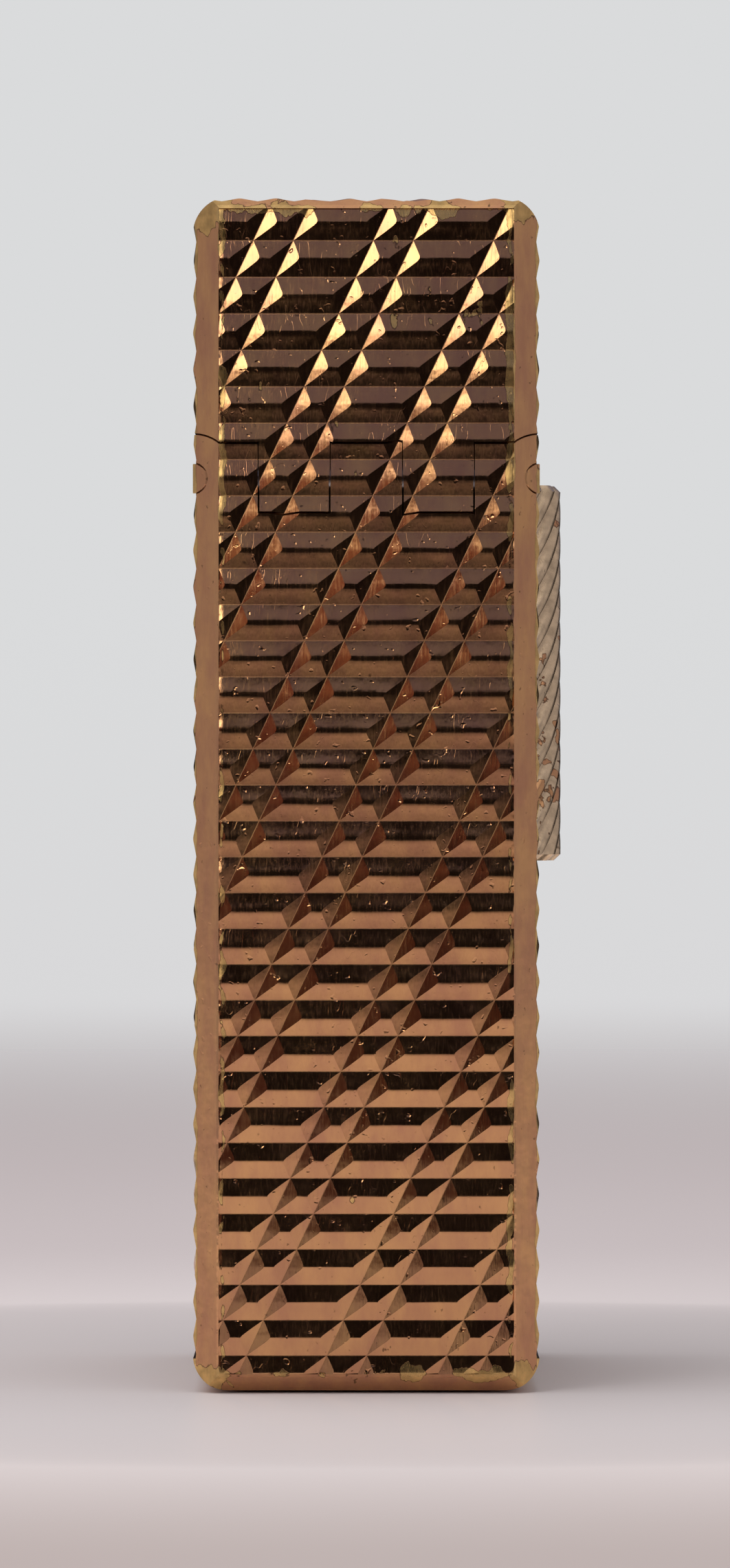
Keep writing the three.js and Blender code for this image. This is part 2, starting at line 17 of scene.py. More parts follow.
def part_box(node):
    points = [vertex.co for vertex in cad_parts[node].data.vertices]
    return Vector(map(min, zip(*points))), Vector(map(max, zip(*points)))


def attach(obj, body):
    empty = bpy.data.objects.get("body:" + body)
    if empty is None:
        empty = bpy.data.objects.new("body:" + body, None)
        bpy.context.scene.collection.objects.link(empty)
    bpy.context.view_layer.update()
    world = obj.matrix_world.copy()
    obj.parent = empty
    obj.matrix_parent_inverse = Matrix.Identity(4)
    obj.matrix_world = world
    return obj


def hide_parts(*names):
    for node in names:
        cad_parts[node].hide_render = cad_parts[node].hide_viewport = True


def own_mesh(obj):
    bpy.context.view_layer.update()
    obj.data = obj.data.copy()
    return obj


bl_info = {
    "name": "Roller Pocket Lighter",
    "version": (1, 0, 0),
    "blender": (4, 5, 0),
    "location": "View3D > Sidebar > Lighter",
    "description": "Makes an engine-turned pocket lighter round its packed frame",
    "category": "Add Mesh",
}

MM = 0.001
QUARTER = math.pi / 2
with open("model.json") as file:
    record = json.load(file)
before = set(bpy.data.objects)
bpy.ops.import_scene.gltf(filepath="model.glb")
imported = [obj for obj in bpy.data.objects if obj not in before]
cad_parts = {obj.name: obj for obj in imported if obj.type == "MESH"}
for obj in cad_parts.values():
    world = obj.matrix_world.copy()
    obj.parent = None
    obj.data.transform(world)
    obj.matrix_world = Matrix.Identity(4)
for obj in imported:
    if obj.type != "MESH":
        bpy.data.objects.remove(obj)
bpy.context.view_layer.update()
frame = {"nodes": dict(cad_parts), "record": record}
BODY_OF = {node: body for body, nodes in frame["record"]["behaviour"]["bodies"].items() for node in nodes}
SLOT_OF = {row["node"]: row["material_slot"] for row in frame["record"]["subparts"]}


def box_of(node):
    """A CAD node's lowest and highest corners, in millimetres."""
    low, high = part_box(node)
    return low / MM, high / MM


def middle_of(node):
    low, high = box_of(node)
    return (low + high) / 2


CASE_LOW, CASE_HIGH = box_of("body_shell")
HALF_X = CASE_HIGH.x  # half the thickness of the case
HALF_Y = CASE_HIGH.y
HEIGHT = box_of("lid_shell")[1].z
EDGE_BEVEL = 1.06  # plain 45 degree bevels down the four upright edges
TOP_BEVEL = 0.42
BASE_BEVEL = 0.66


def srgb(code):
    """A colour picked as an sRGB hex code, as the linear values that shaders take."""
    channels = [int(code[i : i + 2], 16) / 255 for i in (0, 2, 4)]
    return tuple(c / 12.92 if c <= 0.04045 else ((c + 0.055) / 1.055) ** 2.4 for c in channels)


def rgba(colour):
    return (*colour, 1.0)


# ---------------------------------------------------------------- settings


def length_property(name, description, default):
    return FloatProperty(name=name, description=description + ", in mm", default=default)


class TurningSettings(bpy.types.PropertyGroup):
    """The engine-turned pattern, in millimetres on the case."""

    row_pitch: length_property("Row Pitch", "Distance between level grooves", 1.41)
    creep: length_property("Creep", "How much each pitch shrinks on the next", 0.00156)
    first_row: length_property("First Row", "Height of the highest level groove", 44.34)
    lean: FloatProperty(
        name="Lean",
        description="Lean of the slanted grooves from upright",
        default=math.radians(25.3),
        subtype="ANGLE",
    )
    slant_pitch: length_property("Slant Pitch", "Distance between slanted grooves along a row", 1.543)
    slant_start: length_property("Slant Start", "Where the first slanted groove meets the first row", -4.36)
    slant_reach: length_property("Slant Reach", "From the bottom of a slanted groove to its shoulder", 0.59)
    depth: length_property("Depth", "Depth of a groove below its ridges", 0.122)
    skin: length_property("Skin", "How far the ridges lie below the bare case", 0.012)
    cuts: IntProperty(
        name="Cuts", description="Mesh lines from one groove to the next", default=12, min=4, max=14
    )


class RollerSettings(bpy.types.PropertyGroup):
    """The ribs of the roller and the teeth of the striker wheel."""

    ribs: IntProperty(name="Ribs", description="Slanting ribs round the roller", default=22, min=8, max=60)
    rib_depth: length_property("Rib Depth", "Depth between the ribs", 0.42)
    teeth: IntProperty(name="Teeth", description="Teeth round the striker wheel", default=28, min=12, max=60)
    tooth_depth: length_property("Tooth Depth", "Depth between the teeth", 0.2)


def colour_property(name, description, code):
    return FloatVectorProperty(name=name, description=description, subtype="COLOR", default=srgb(code))


class FinishSettings(bpy.types.PropertyGroup):
    """Colours of the finishes."""

    plate: colour_property("Rose Gold", "Rose gold plate", "D49F6E")
    tarnish: colour_property("Tarnish", "Rose gold plate where it has dulled", "C08A68")
    worn_brass: colour_property("Worn Brass", "Brass where the plate has gone", "E2B878")
    rubbed_brass: colour_property("Rubbed Brass", "Dull brass under the thumb", "E8C9A4")
    brass: colour_property("Brass", "Turned brass inside", "D8BC74")
    steel: colour_property("Steel", "Turned and ground steel", "C2C2C4")
    spring_steel: colour_property("Spring Steel", "Blued spring wire", "8E9096")
    nickel: colour_property("Nickel", "Nickel plate", "CFCAC0")
    rubber: colour_property("Rubber", "Nitrile rubber", "1B1B1C")
    ferro: colour_property("Flint", "Pressed ferrocerium", "56524E")
    floor: colour_property("Floor", "The table", "D6CDCD")
    backdrop: colour_property("Backdrop", "The room behind", "DADBDC")


# ---------------------------------------------------------------- node helpers


def add_node(tree, kind, *values, **settings):
    """Adds a node. Values go to its inputs in order, a socket as a link and None to skip one."""
    made = tree.nodes.new(kind)
    for name, value in settings.items():
        setattr(made, name, value)
    for socket, value in zip(made.inputs, values):
        if isinstance(value, bpy.types.NodeSocket):
            tree.links.new(value, socket)
        elif value is not None:
            socket.default_value = value
    return made


SIGNS = {"+": "ADD", "-": "SUBTRACT", "*": "MULTIPLY", "/": "DIVIDE"}


def arithmetic(tree, operation, *values):
    """A maths node in a shader or geometry tree, as its result, from a sign or the node's own word."""
    return add_node(tree, "ShaderNodeMath", *values, operation=SIGNS.get(operation, operation)).outputs[0]


def spread(tree, value, low, high, to_low=0.0, to_high=1.0, kind="LINEAR"):
    """The value's range from low to high moved to another range and held there."""
    return add_node(
        tree, "ShaderNodeMapRange", value, low, high, to_low, to_high, interpolation_type=kind
    ).outputs[0]


def band(tree, value, start, full, fall, end):
    """0 up to the start, 1 from full to fall, and 0 again past the end."""
    return arithmetic(
        tree, "*", spread(tree, value, start, full), spread(tree, value, fall, end, 1.0, 0.0)
    )


def point_at(tree, x, y, z):
    return add_node(tree, "ShaderNodeCombineXYZ", x, y, z).outputs[0]


def on_circle(tree, radius, angle, up):
    """The point at an angle round the Z axis."""
    x = arithmetic(tree, "*", radius, arithmetic(tree, "COSINE", angle))
    y = arithmetic(tree, "*", radius, arithmetic(tree, "SINE", angle))
    return point_at(tree, x, y, up)


def moved(tree, geometry, place, turn=None):
    """The geometry turned and set at a place."""
    made = add_node(tree, "GeometryNodeTransform", geometry)
    tree.links.new(place, made.inputs["Translation"])
    if turn:
        tree.links.new(turn, made.inputs["Rotation"])
    return made.outputs[0]


def joined(tree, *geometries):
    made = add_node(tree, "GeometryNodeJoinGeometry")
    for geometry in geometries:
        tree.links.new(geometry, made.inputs[0])
    return made.outputs[0]


def merged(tree, geometry):
    """The geometry with points that lie on each other made one."""
    made = add_node(tree, "GeometryNodeMergeByDistance", geometry)
    made.inputs["Distance"].default_value = 0.0005
    return made.outputs[0]


def winding(tree, turns, steps):
    """A line to wind into a helix of so many turns, with the share along it and the angle round."""
    line = add_node(tree, "GeometryNodeCurvePrimitiveLine")
    points = add_node(tree, "GeometryNodeResampleCurve", line.outputs[0], None, steps)
    along = add_node(tree, "GeometryNodeSplineParameter").outputs["Factor"]
    angle = arithmetic(tree, "*", arithmetic(tree, "*", along, turns), 2 * math.pi)
    return points.outputs[0], along, angle


def wire_along(tree, points, spots, sides, radius):
    """A wire of so many sides and a radius through the points moved to their spots."""
    placed = add_node(tree, "GeometryNodeSetPosition", points, None, spots)
    section = add_node(tree, "GeometryNodeCurvePrimitiveCircle", sides)
    tree.links.new(radius, section.inputs["Radius"])
    swept = add_node(tree, "GeometryNodeCurveToMesh", placed.outputs[0], section.outputs[0])
    swept.inputs["Fill Caps"].default_value = True
    return swept.outputs[0]


def new_geometry_tree(name, inputs):
    """An empty geometry tree with named inputs and their defaults, and its input node's outputs.

    An input's kind follows from its default, or from its name where that is None.
    """
    kinds = {float: "Float", int: "Int", tuple: "Vector"}
    tree = bpy.data.node_groups.new(name, "GeometryNodeTree")
    for label, default in inputs.items():
        kind = kinds.get(type(default), label)
        socket = tree.interface.new_socket(label, in_out="INPUT", socket_type="NodeSocket" + kind)
        if default is not None:
            socket.default_value = default
    tree.interface.new_socket("Geometry", in_out="OUTPUT", socket_type="NodeSocketGeometry")
    return tree, tree.nodes.new("NodeGroupInput").outputs


def end_tree(tree, geometry, material):
    """Ends a geometry tree in plain, realised geometry with its material."""
    real = add_node(tree, "GeometryNodeRealizeInstances", geometry).outputs[0]
    finished = add_node(tree, "GeometryNodeSetMaterial", real, None, material).outputs[0]
    add_node(tree, "NodeGroupOutput", finished)


def boolean_of(tree, operation, first, *others):
    """Joins or cuts closed meshes in a geometry tree."""
    made = add_node(tree, "GeometryNodeMeshBoolean", operation=operation, solver="MANIFOLD")
    meshes = others
    if operation == "DIFFERENCE":
        tree.links.new(first, made.inputs["Mesh 1"])
    else:
        meshes = (first, *others)
    for mesh in meshes:
        tree.links.new(mesh, made.inputs["Mesh 2"])
    return made.outputs[0]


# ---------------------------------------------------------------- mesh helpers


def link(name, mesh):
    piece = bpy.data.objects.new(name, mesh)
    bpy.context.scene.collection.objects.link(piece)
    return piece


def baked(holder, name):
    """A plain piece with what the holder's modifiers give, in place of the holder."""
    graph = bpy.context.evaluated_depsgraph_get()
    graph.update()
    mesh = bpy.data.meshes.new_from_object(holder.evaluated_get(graph), depsgraph=graph)
    old = holder.data
    bpy.data.objects.remove(holder)
    bpy.data.meshes.remove(old)
    mesh.name = name
    materials = [material for material in mesh.materials if material]
    mesh.materials.clear()
    for material in materials[:1]:
        mesh.materials.append(material)
        mesh.polygons.foreach_set("material_index", [0] * len(mesh.polygons))
    return link(name, mesh)


def add_modifier(holder, tree, values):
    """Adds a geometry tree to an object, with its named inputs set."""
    modifier = holder.modifiers.new(tree.name, "NODES")
    modifier.node_group = tree
    for socket in tree.interface.items_tree:
        if socket.in_out == "INPUT" and socket.name in values:
            modifier[socket.identifier] = values[socket.name]


def made_by(tree, name, values):
    """A plain mesh from a geometry tree that needs no geometry to start from."""
    holder = link(name + "_maker", bpy.data.meshes.new(name + "_maker"))
    add_modifier(holder, tree, values)
    return baked(holder, name)


def cad_copy(node):
    """A copy of a CAD node's mesh in millimetres, with its loose triangles joined up."""
    mesh = frame["nodes"][node].data.copy()
    mesh.materials.clear()
    mesh.transform(Matrix.Scale(1 / MM, 4))
    work = bmesh.new()
    work.from_mesh(mesh)
    bmesh.ops.remove_doubles(work, verts=work.verts, dist=0.002)
    bmesh.ops.dissolve_limit(work, angle_limit=math.radians(0.2), verts=work.verts, edges=work.edges)
    work.to_mesh(mesh)
    work.free()
    return mesh


def crisp(mesh, degrees):
    """Smooth shading with sharp edges wherever two faces meet at more than the angle."""
    mesh.shade_smooth()
    work = bmesh.new()
    work.from_mesh(mesh)
    for edge in work.edges:
        edge.smooth = len(edge.link_faces) == 2 and edge.calc_face_angle(0.0) < math.radians(degrees)
    work.to_mesh(mesh)
    work.free()


def take_place(piece, node):
    """Brings a piece from millimetres to metres and puts it in place of its CAD node, on that node's body."""
    piece.data.transform(Matrix.Scale(MM, 4))
    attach(piece, BODY_OF[node])
    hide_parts(node)
    return piece


# Turns of a shape drawn along +Z that lay it along another axis
ALONG = {
    "X": Matrix(((0, 0, 1), (1, 0, 0), (0, 1, 0))).to_4x4(),
    "Y": Matrix(((0, 1, 0), (0, 0, 1), (1, 0, 0))).to_4x4(),
    "Z": Matrix.Identity(4),
}


def eased(points, radius, closed=True, steps=3):
    """The outline with its corners rounded, each by a curve that starts the radius away from the corner."""
    made = []
    count = len(points)
    for i, point in enumerate(points):
        corner = Vector(point)
        if not closed and i in (0, count - 1):
            made.append(corner)
            continue
        before = Vector(points[i - 1]) - corner
        after = Vector(points[(i + 1) % count]) - corner
        start = corner + before * min(radius / before.length, 0.45)
        end = corner + after * min(radius / after.length, 0.45)
        for step in range(steps + 1):
            t = step / steps
            made.append(start * (1 - t) ** 2 + corner * (2 * t * (1 - t)) + end * t**2)
    return made


def arc(centre, radius, start, end, steps=16):
    """Points round part of a circle, with angles in degrees."""
    angles = [math.radians(start + (end - start) * i / steps) for i in range(steps + 1)]
    return [(centre[0] + radius * math.cos(a), centre[1] + radius * math.sin(a)) for a in angles]


def rectangle(low, high):
    return [(low[0], low[1]), (high[0], low[1]), (high[0], high[1]), (low[0], high[1])]


def cut_corners(low, high, cut):
    """A rectangle with its corners cut at 45 degrees."""
    return [
        (low[0] + cut, low[1]), (high[0] - cut, low[1]), (high[0], low[1] + cut),
        (high[0], high[1] - cut), (high[0] - cut, high[1]), (low[0] + cut, high[1]),
        (low[0], high[1] - cut), (low[0], low[1] + cut),
    ]


def closed_mesh(rings, loop=False):
    """Skins a row of rings with as many points each. The ends are capped, or joined to make a loop."""
    points = [point for ring in rings for point in ring]
    size = len(rings[0])
    faces = []
    spans = len(rings) if loop else len(rings) - 1
    for i in range(spans):
        lower, upper = i * size, (i + 1) % len(rings) * size
        for k in range(size):
            n = (k + 1) % size
            faces.append((lower + k, lower + n, upper + n, upper + k))
    if not loop:
        faces.append(tuple(reversed(range(size))))
        faces.append(tuple(range(len(points) - size, len(points))))
    mesh = bpy.data.meshes.new("shape")
    mesh.from_pydata(points, [], faces)
    return mesh


def turned(profile, at=(0, 0), axis="Z", facets=64, ease=0.05):
    """Turns a profile of (radius, distance along the axis) points, drawn outside upwards. Bores close it."""
    bored = profile[0][0] > 0
    smooth = eased(profile, ease, closed=bored)
    tiny = 1e-4
    rings = []
    for radius, along in smooth:
        reach = max(radius, tiny)
        angles = [2 * math.pi * k / facets for k in range(facets)]
        rings.append([(at[0] + reach * math.cos(a), at[1] + reach * math.sin(a), along) for a in angles])
    mesh = closed_mesh(rings, loop=bored)
    mesh.transform(ALONG[axis])
    return mesh


def stepped(low, *steps):
    """The profile of a solid turned shape, from steps of (radius, where that step ends)."""
    profile = [(0, low)]
    for radius, end in steps:
        profile += [(radius, low), (radius, end)]
        low = end
    return [*profile, (0, low)]


def rod(radius, low, high, at=(0, 0), axis="Z", facets=64, ease=0.06):
    return turned(stepped(low, (radius, high)), at, axis, facets, ease)


def holes_at(nodes, radius, low, high):
    """Drills at the middles of CAD nodes."""
    return [rod(radius, low, high, middle_of(node)[:2], ease=0) for node in nodes]


def tube(outer, inner, low, high, at=(0, 0), axis="Z", facets=64, ease=0.05):
    return turned([(inner, low), (outer, low), (outer, high), (inner, high)], at, axis, facets, ease)


def pressed(outline, low, high, axis="Z", ease=0.06):
    """A plate between two heights with its outline's edges broken, the outline drawn anticlockwise."""
    points = [Vector(p) for p in outline]
    count = len(points)

    def shrunk(by):
        made = []
        for i, point in enumerate(points):
            before = (point - points[i - 1]).normalized()
            after = (points[(i + 1) % count] - point).normalized()
            inward = Vector((-before.y - after.y, before.x + after.x))
            share = inward.length / 2 or 1
            made.append(point + inward.normalized() * by / share)
        return made

    levels = [(low, ease), (low + ease * 0.3, ease * 0.3), (low + ease, 0)]
    levels += [(high - ease, 0), (high - ease * 0.3, ease * 0.3), (high, ease)]
    if not ease:
        levels = [(low, 0), (high, 0)]
    rings = [[(*p, level) for p in shrunk(by)] for level, by in levels]
    mesh = closed_mesh(rings)
    mesh.transform(ALONG[axis])
    return mesh


def block(low, high, ease=0.06):
    return pressed(rectangle(low[:2], high[:2]), low[2], high[2], ease=ease)


def built(name, base, add=(), cut=(), degrees=50, material=None, common=()):
    """A piece in millimetres from a closed shape trimmed to others, with more joined on, then cut out."""
    holder = link(name, base)
    tools = []
    for meshes, operation in ((common, "INTERSECT"), (add, "UNION"), (cut, "DIFFERENCE")):
        for mesh in meshes:
            tool = link(name + "_tool", mesh)
            tools.append(tool)
            modifier = holder.modifiers.new(operation, "BOOLEAN")
            modifier.operation = operation
            modifier.solver = "MANIFOLD"
            modifier.object = tool
    if tools:
        holder = baked(holder, name)
    for tool in tools:
        mesh = tool.data
        bpy.data.objects.remove(tool)
        bpy.data.meshes.remove(mesh)
    crisp(holder.data, degrees)
    holder.data.materials.clear()
    if material:
        holder.data.materials.append(material)
    return holder


def fitted(name, base, node, add=(), cut=(), degrees=50):
    """A finished piece in place of a CAD node, with even shading over its flats and broken edges."""
    piece = built(name, base, add, cut, degrees, finish_for(SLOT_OF[node]))
    evener = piece.modifiers.new("even", "WEIGHTED_NORMAL")
    evener.keep_sharp = True
    return take_place(baked(piece, name), node)


def solid_of(base, **changes):
    """The trimmed, joined and cut shape as a mesh, for use in another one."""
    piece = built("shape", base, **changes)
    mesh = piece.data
    bpy.data.objects.remove(piece)
    return mesh


# ---------------------------------------------------------------- material helpers


def cleared_tree(owner):
    """The owner's node tree, empty."""
    owner.use_nodes = True
    owner.node_tree.nodes.clear()
    return owner.node_tree


def new_material(name):
    """A material with only its output, its tree, its output's surface socket and its place in millimetres."""
    material = bpy.data.materials.new(name)
    tree = cleared_tree(material)
    output = add_node(tree, "ShaderNodeOutputMaterial")
    place = add_node(tree, "ShaderNodeTexCoord").outputs["Object"]
    in_mm = add_node(tree, "ShaderNodeVectorMath", place, (1 / MM,) * 3, operation="MULTIPLY").outputs[0]
    return material, tree, output.inputs["Surface"], in_mm


def new_metal(name, colour, roughness, metallic=1.0):
    """A material, its node tree, its surface shader and its place in millimetres."""
    material, tree, surface, in_mm = new_material(name)
    shader = add_node(tree, "ShaderNodeBsdfPrincipled")
    shader.inputs["Metallic"].default_value = metallic
    shader.inputs["Base Color"].default_value = rgba(colour)
    shader.inputs["Roughness"].default_value = roughness
    tree.links.new(shader.outputs[0], surface)
    return material, tree, shader, in_mm


def noise(tree, place, scale=1.0, detail=2.0, rough=0.5):
    """Noise from 0 to 1, with a scale per millimetre, or one for each axis."""
    if isinstance(scale, tuple):
        place = add_node(tree, "ShaderNodeVectorMath", place, scale, operation="MULTIPLY").outputs[0]
        scale = 1.0
    made = add_node(tree, "ShaderNodeTexNoise", place)
    made.inputs["Scale"].default_value = scale
    made.inputs["Detail"].default_value = detail
    made.inputs["Roughness"].default_value = rough
    return made.outputs[0]


def mixed(tree, share, first, second, blend="MIX"):
    """One colour over another. A share or a colour can be a socket or a value."""
    made = add_node(tree, "ShaderNodeMix", data_type="RGBA", blend_type=blend)
    colours = [socket for socket in made.inputs if socket.type == "RGBA"]
    for socket, value in ((made.inputs[0], share), (colours[0], first), (colours[1], second)):
        if isinstance(value, bpy.types.NodeSocket):
            tree.links.new(value, socket)
        else:
            socket.default_value = value
    return [socket for socket in made.outputs if socket.type == "RGBA"][0]


def surfaced(tree, shader, colour, roughness, height, depth):
    """Gives a shader its colour, its roughness, and bump from a height of 0 to 1 with its depth in mm."""
    bump = add_node(tree, "ShaderNodeBump")
    bump.inputs["Distance"].default_value = depth * MM
    tree.links.new(height, bump.inputs["Height"])
    made = (("Base Color", colour), ("Roughness", roughness), ("Normal", bump.outputs[0]))
    for name, socket in made:
        tree.links.new(socket, shader.inputs[name])


def shaded(colour, *shares):
    """The colour darkened, by one share or by one for each channel."""
    return tuple(channel * share for channel, share in zip(colour, shares * (3 // len(shares))))


def case_places(tree, place):
    """Where a point is on the case, in mm: its distances from the edges that handling wears first."""
    m = partial(arithmetic, tree)

    x, y, z = add_node(tree, "ShaderNodeSeparateXYZ", place).outputs
    from_x = m("-", HALF_X, m("ABSOLUTE", x))
    from_y = m("-", HALF_Y, m("ABSOLUTE", y))
    # Across a bevel this runs steadily from the narrow side to the broad one
    across = m("-", from_y, from_x)
    narrow_edge = m("ABSOLUTE", m("+", across, EDGE_BEVEL))
    broad_edge = m("ABSOLUTE", m("-", across, EDGE_BEVEL))
    top_edge = m("ABSOLUTE", m("-", z, HEIGHT - TOP_BEVEL))
    base_edge = m("ABSOLUTE", m("-", z, BASE_BEVEL))
    to_end = m("MINIMUM", m("-", HEIGHT, z), z)
    corner = m("SQRT", m("+", m("POWER", m("+", from_x, from_y), 2.0), m("POWER", to_end, 2.0)))
    return {
        "narrow_edge": narrow_edge,
        "broad_edge": m("MAXIMUM", broad_edge, m("*", from_x, 1.2)),
        "end_edge": m("MINIMUM", top_edge, base_edge),
        "corner": corner,
        "height": z,
        "depth": m("MINIMUM", from_x, from_y),
        "from_x": from_x,
    }


def plate_over_brass(name, wear_bias, brass, roller=False):
    """Rose gold electroplate over brass, with brass showing where handling has worn the plate away."""
    colours = bpy.context.scene.finishes
    material, tree, shader, place = new_metal(name, colours.plate, 0.2)
    m = partial(arithmetic, tree)

    # Wear: patches a millimetre or so long, crisp at their border because the plate is a thin hard skin
    patch = noise(tree, place, (1.5, 1.5, 0.9), 3.0, 0.5)
    region = noise(tree, place, 0.16, 1.0)
    wear = m("+", m("-", patch, 0.5), m("*", m("-", region, 0.5), 0.7))
    if not roller:
        at = case_places(tree, place)
        by_broad = spread(tree, at["broad_edge"], 0.2, 0.5, 0.16, -0.36)
        by_narrow = spread(tree, at["narrow_edge"], 0.04, 0.3, 0.09, -0.36)
        handled = spread(tree, at["height"], 33.0, 38.0, -0.08, 0.02)
        by_narrow = m("+", by_narrow, handled)
        by_end = spread(tree, at["end_edge"], 0.05, 0.55, 0.02, -0.36)
        by_end = m("+", by_end, spread(tree, noise(tree, place, 0.5, 1.0), 0.42, 0.6, -0.16, 0.12))
        by_corner = spread(tree, at["corner"], 0.7, 2.1, 0.5, -0.36)
        near = m("MAXIMUM", m("MAXIMUM", by_broad, by_narrow), m("MAXIMUM", by_end, by_corner))
        wear = m("+", wear, near)
    wear = m("+", wear, wear_bias)
    worn = spread(tree, wear, 0.0, 0.01)
    border = m("*", spread(tree, wear, -0.024, 0.0), spread(tree, wear, 0.004, 0.02, 1.0, 0.0))

    # Colour: gold with duller clouds, brass in the patches, dark at the broken edge of the plate
    cloud = noise(tree, place, (0.9, 0.9, 0.35), 4.0, 0.65)
    gold = mixed(tree, spread(tree, cloud, 0.35, 0.65), rgba(colours.plate), rgba(colours.tarnish))
    brown_spots = spread(tree, noise(tree, place, 5.0, 2.0), 0.71, 0.77)
    dirty = shaded(colours.tarnish, 0.22)
    gold = mixed(tree, m("*", brown_spots, 0.6), gold, rgba(dirty))
    dull = shaded(brass, 0.66)
    bare = mixed(tree, spread(tree, noise(tree, place, 2.2, 3.0), 0.35, 0.7), rgba(brass), rgba(dull))
    colour = mixed(tree, worn, gold, bare)
    colour = mixed(tree, m("*", border, 0.85), colour, rgba(dirty))

    # Roughness: polished plate with cloudy handling marks, satin brass
    haze = spread(tree, noise(tree, place, 0.7, 4.0, 0.65), 0.3, 0.7, 0.07, 0.15)
    lines = noise(tree, place, (16.0, 16.0, 0.9), 2.0)
    rough = m("+", haze, spread(tree, lines, 0.45, 0.75, 0.0, 0.1))
    rough = m("+", rough, m("*", worn, 0.16))
    if not roller:
        # The bottoms of the grooves keep the dull track of the cutting tool
        rough = m("+", rough, spread(tree, at["depth"], 0.128, 0.133, 0.0, 0.25))

    # Relief: tool marks up the flanks, soft waves from polishing, dents, scratches and the step of the plate
    marks = m("*", lines, 0.2)
    waves = m("*", noise(tree, place, 1.7, 2.0), 0.4)
    dents = m("*", spread(tree, noise(tree, place, 3.4, 1.0), 0.7, 0.8), -0.6)
    scratch = m("ABSOLUTE", m("-", noise(tree, place, (2.4, 2.4, 0.6), 1.0), 0.5))
    scratched = spread(tree, noise(tree, place, 0.55, 1.0), 0.52, 0.62)
    scratches = m("*", m("*", spread(tree, scratch, 0.0, 0.006, 1.0, 0.0), scratched), -0.08)
    height = m("+", m("+", marks, waves), m("+", dents, scratches))
    if not roller:
        # Polishing has rounded the rows off where they end at a bevel
        row_end = spread(tree, at["from_x"], EDGE_BEVEL + 0.17, EDGE_BEVEL - 0.03)
        rounding = spread(tree, noise(tree, place, 1.3, 2.0), 0.35, 0.65, 0.3, 1.3)
        height = m("-", height, m("*", m("POWER", row_end, 2.0), rounding))
    surfaced(tree, shader, colour, rough, m("-", height, m("*", worn, 0.4)), 0.016)
    return material


# ---------------------------------------------------------------- materials


def rose_gold_plate():
    """Rose gold electroplate on engine-turned brass: mirror flanks, worn to brass at edges and corners."""
    return plate_over_brass("rose_gold_plate", 0.0, bpy.context.scene.finishes.worn_brass)


def worn_plate():
    """The same plate on the roller, rubbed by the thumb: most of it is down to pale dull brass."""
    return plate_over_brass("worn_plate", 0.14, bpy.context.scene.finishes.rubbed_brass, roller=True)


def turned_brass():
    """Free-cutting brass as it leaves the lathe: warm yellow, fine concentric tool marks, a little oxide."""
    colours = bpy.context.scene.finishes
    material, tree, shader, place = new_metal("turned_brass", colours.brass, 0.3)
    dull = shaded(colours.brass, 0.62, 0.56, 0.5)
    cloud = spread(tree, noise(tree, place, 0.6, 4.0, 0.6), 0.35, 0.7)
    spots = spread(tree, noise(tree, place, 4.5, 2.0), 0.64, 0.74)
    stained = arithmetic(tree, "MAXIMUM", arithmetic(tree, "*", cloud, 0.6), spots)
    colour = mixed(tree, stained, rgba(colours.brass), rgba(dull))
    marks = noise(tree, place, (1.5, 1.5, 14.0), 2.0)
    surfaced(tree, shader, colour, spread(tree, stained, 0.0, 1.0, 0.2, 0.42), marks, 0.008)
    return material


def ground_steel():
    """Carbon steel, turned and ground: cool grey, with a fine directional grain and faint rust freckles."""
    colours = bpy.context.scene.finishes
    material, tree, shader, place = new_metal("ground_steel", colours.steel, 0.28)
    freckles = spread(tree, noise(tree, place, 3.6, 3.0, 0.6), 0.66, 0.74)
    cloud = spread(tree, noise(tree, place, 0.8, 3.0), 0.35, 0.7)
    bare = mixed(tree, cloud, rgba(colours.steel), rgba(shaded(colours.steel, 0.72)))
    colour = mixed(tree, arithmetic(tree, "*", freckles, 0.5), bare, rgba(srgb("6A4630")))
    grain = noise(tree, place, (2.0, 2.0, 18.0), 2.0)
    surfaced(tree, shader, colour, spread(tree, cloud, 0.0, 1.0, 0.2, 0.36), grain, 0.006)
    return material


def hardened_teeth():
    """File-cut hardened steel of the striker wheel: dark grey, with flint soot between the teeth."""
    colours = bpy.context.scene.finishes
    material, tree, shader, place = new_metal("hardened_teeth", colours.steel, 0.32)
    soot = spread(tree, noise(tree, place, 1.6, 4.0, 0.65), 0.38, 0.66)
    colour = mixed(tree, soot, rgba(srgb("9A9A9C")), rgba(srgb("4A4542")))
    rough = spread(tree, soot, 0.0, 1.0, 0.25, 0.55)
    surfaced(tree, shader, colour, rough, noise(tree, place, 14.0, 2.0), 0.008)
    return material


def spring_wire():
    """Cold-drawn spring wire: dark bluish grey, drawn smooth, with straw tints from tempering."""
    colours = bpy.context.scene.finishes
    material, tree, shader, place = new_metal("spring_wire", colours.spring_steel, 0.25)
    tint = spread(tree, noise(tree, place, 0.9, 3.0), 0.4, 0.68)
    straw = arithmetic(tree, "*", tint, 0.6)
    colour = mixed(tree, straw, rgba(colours.spring_steel), rgba(srgb("8A7A5E")))
    rough = spread(tree, tint, 0.0, 1.0, 0.2, 0.34)
    surfaced(tree, shader, colour, rough, noise(tree, place, 9.0, 2.0), 0.004)
    return material


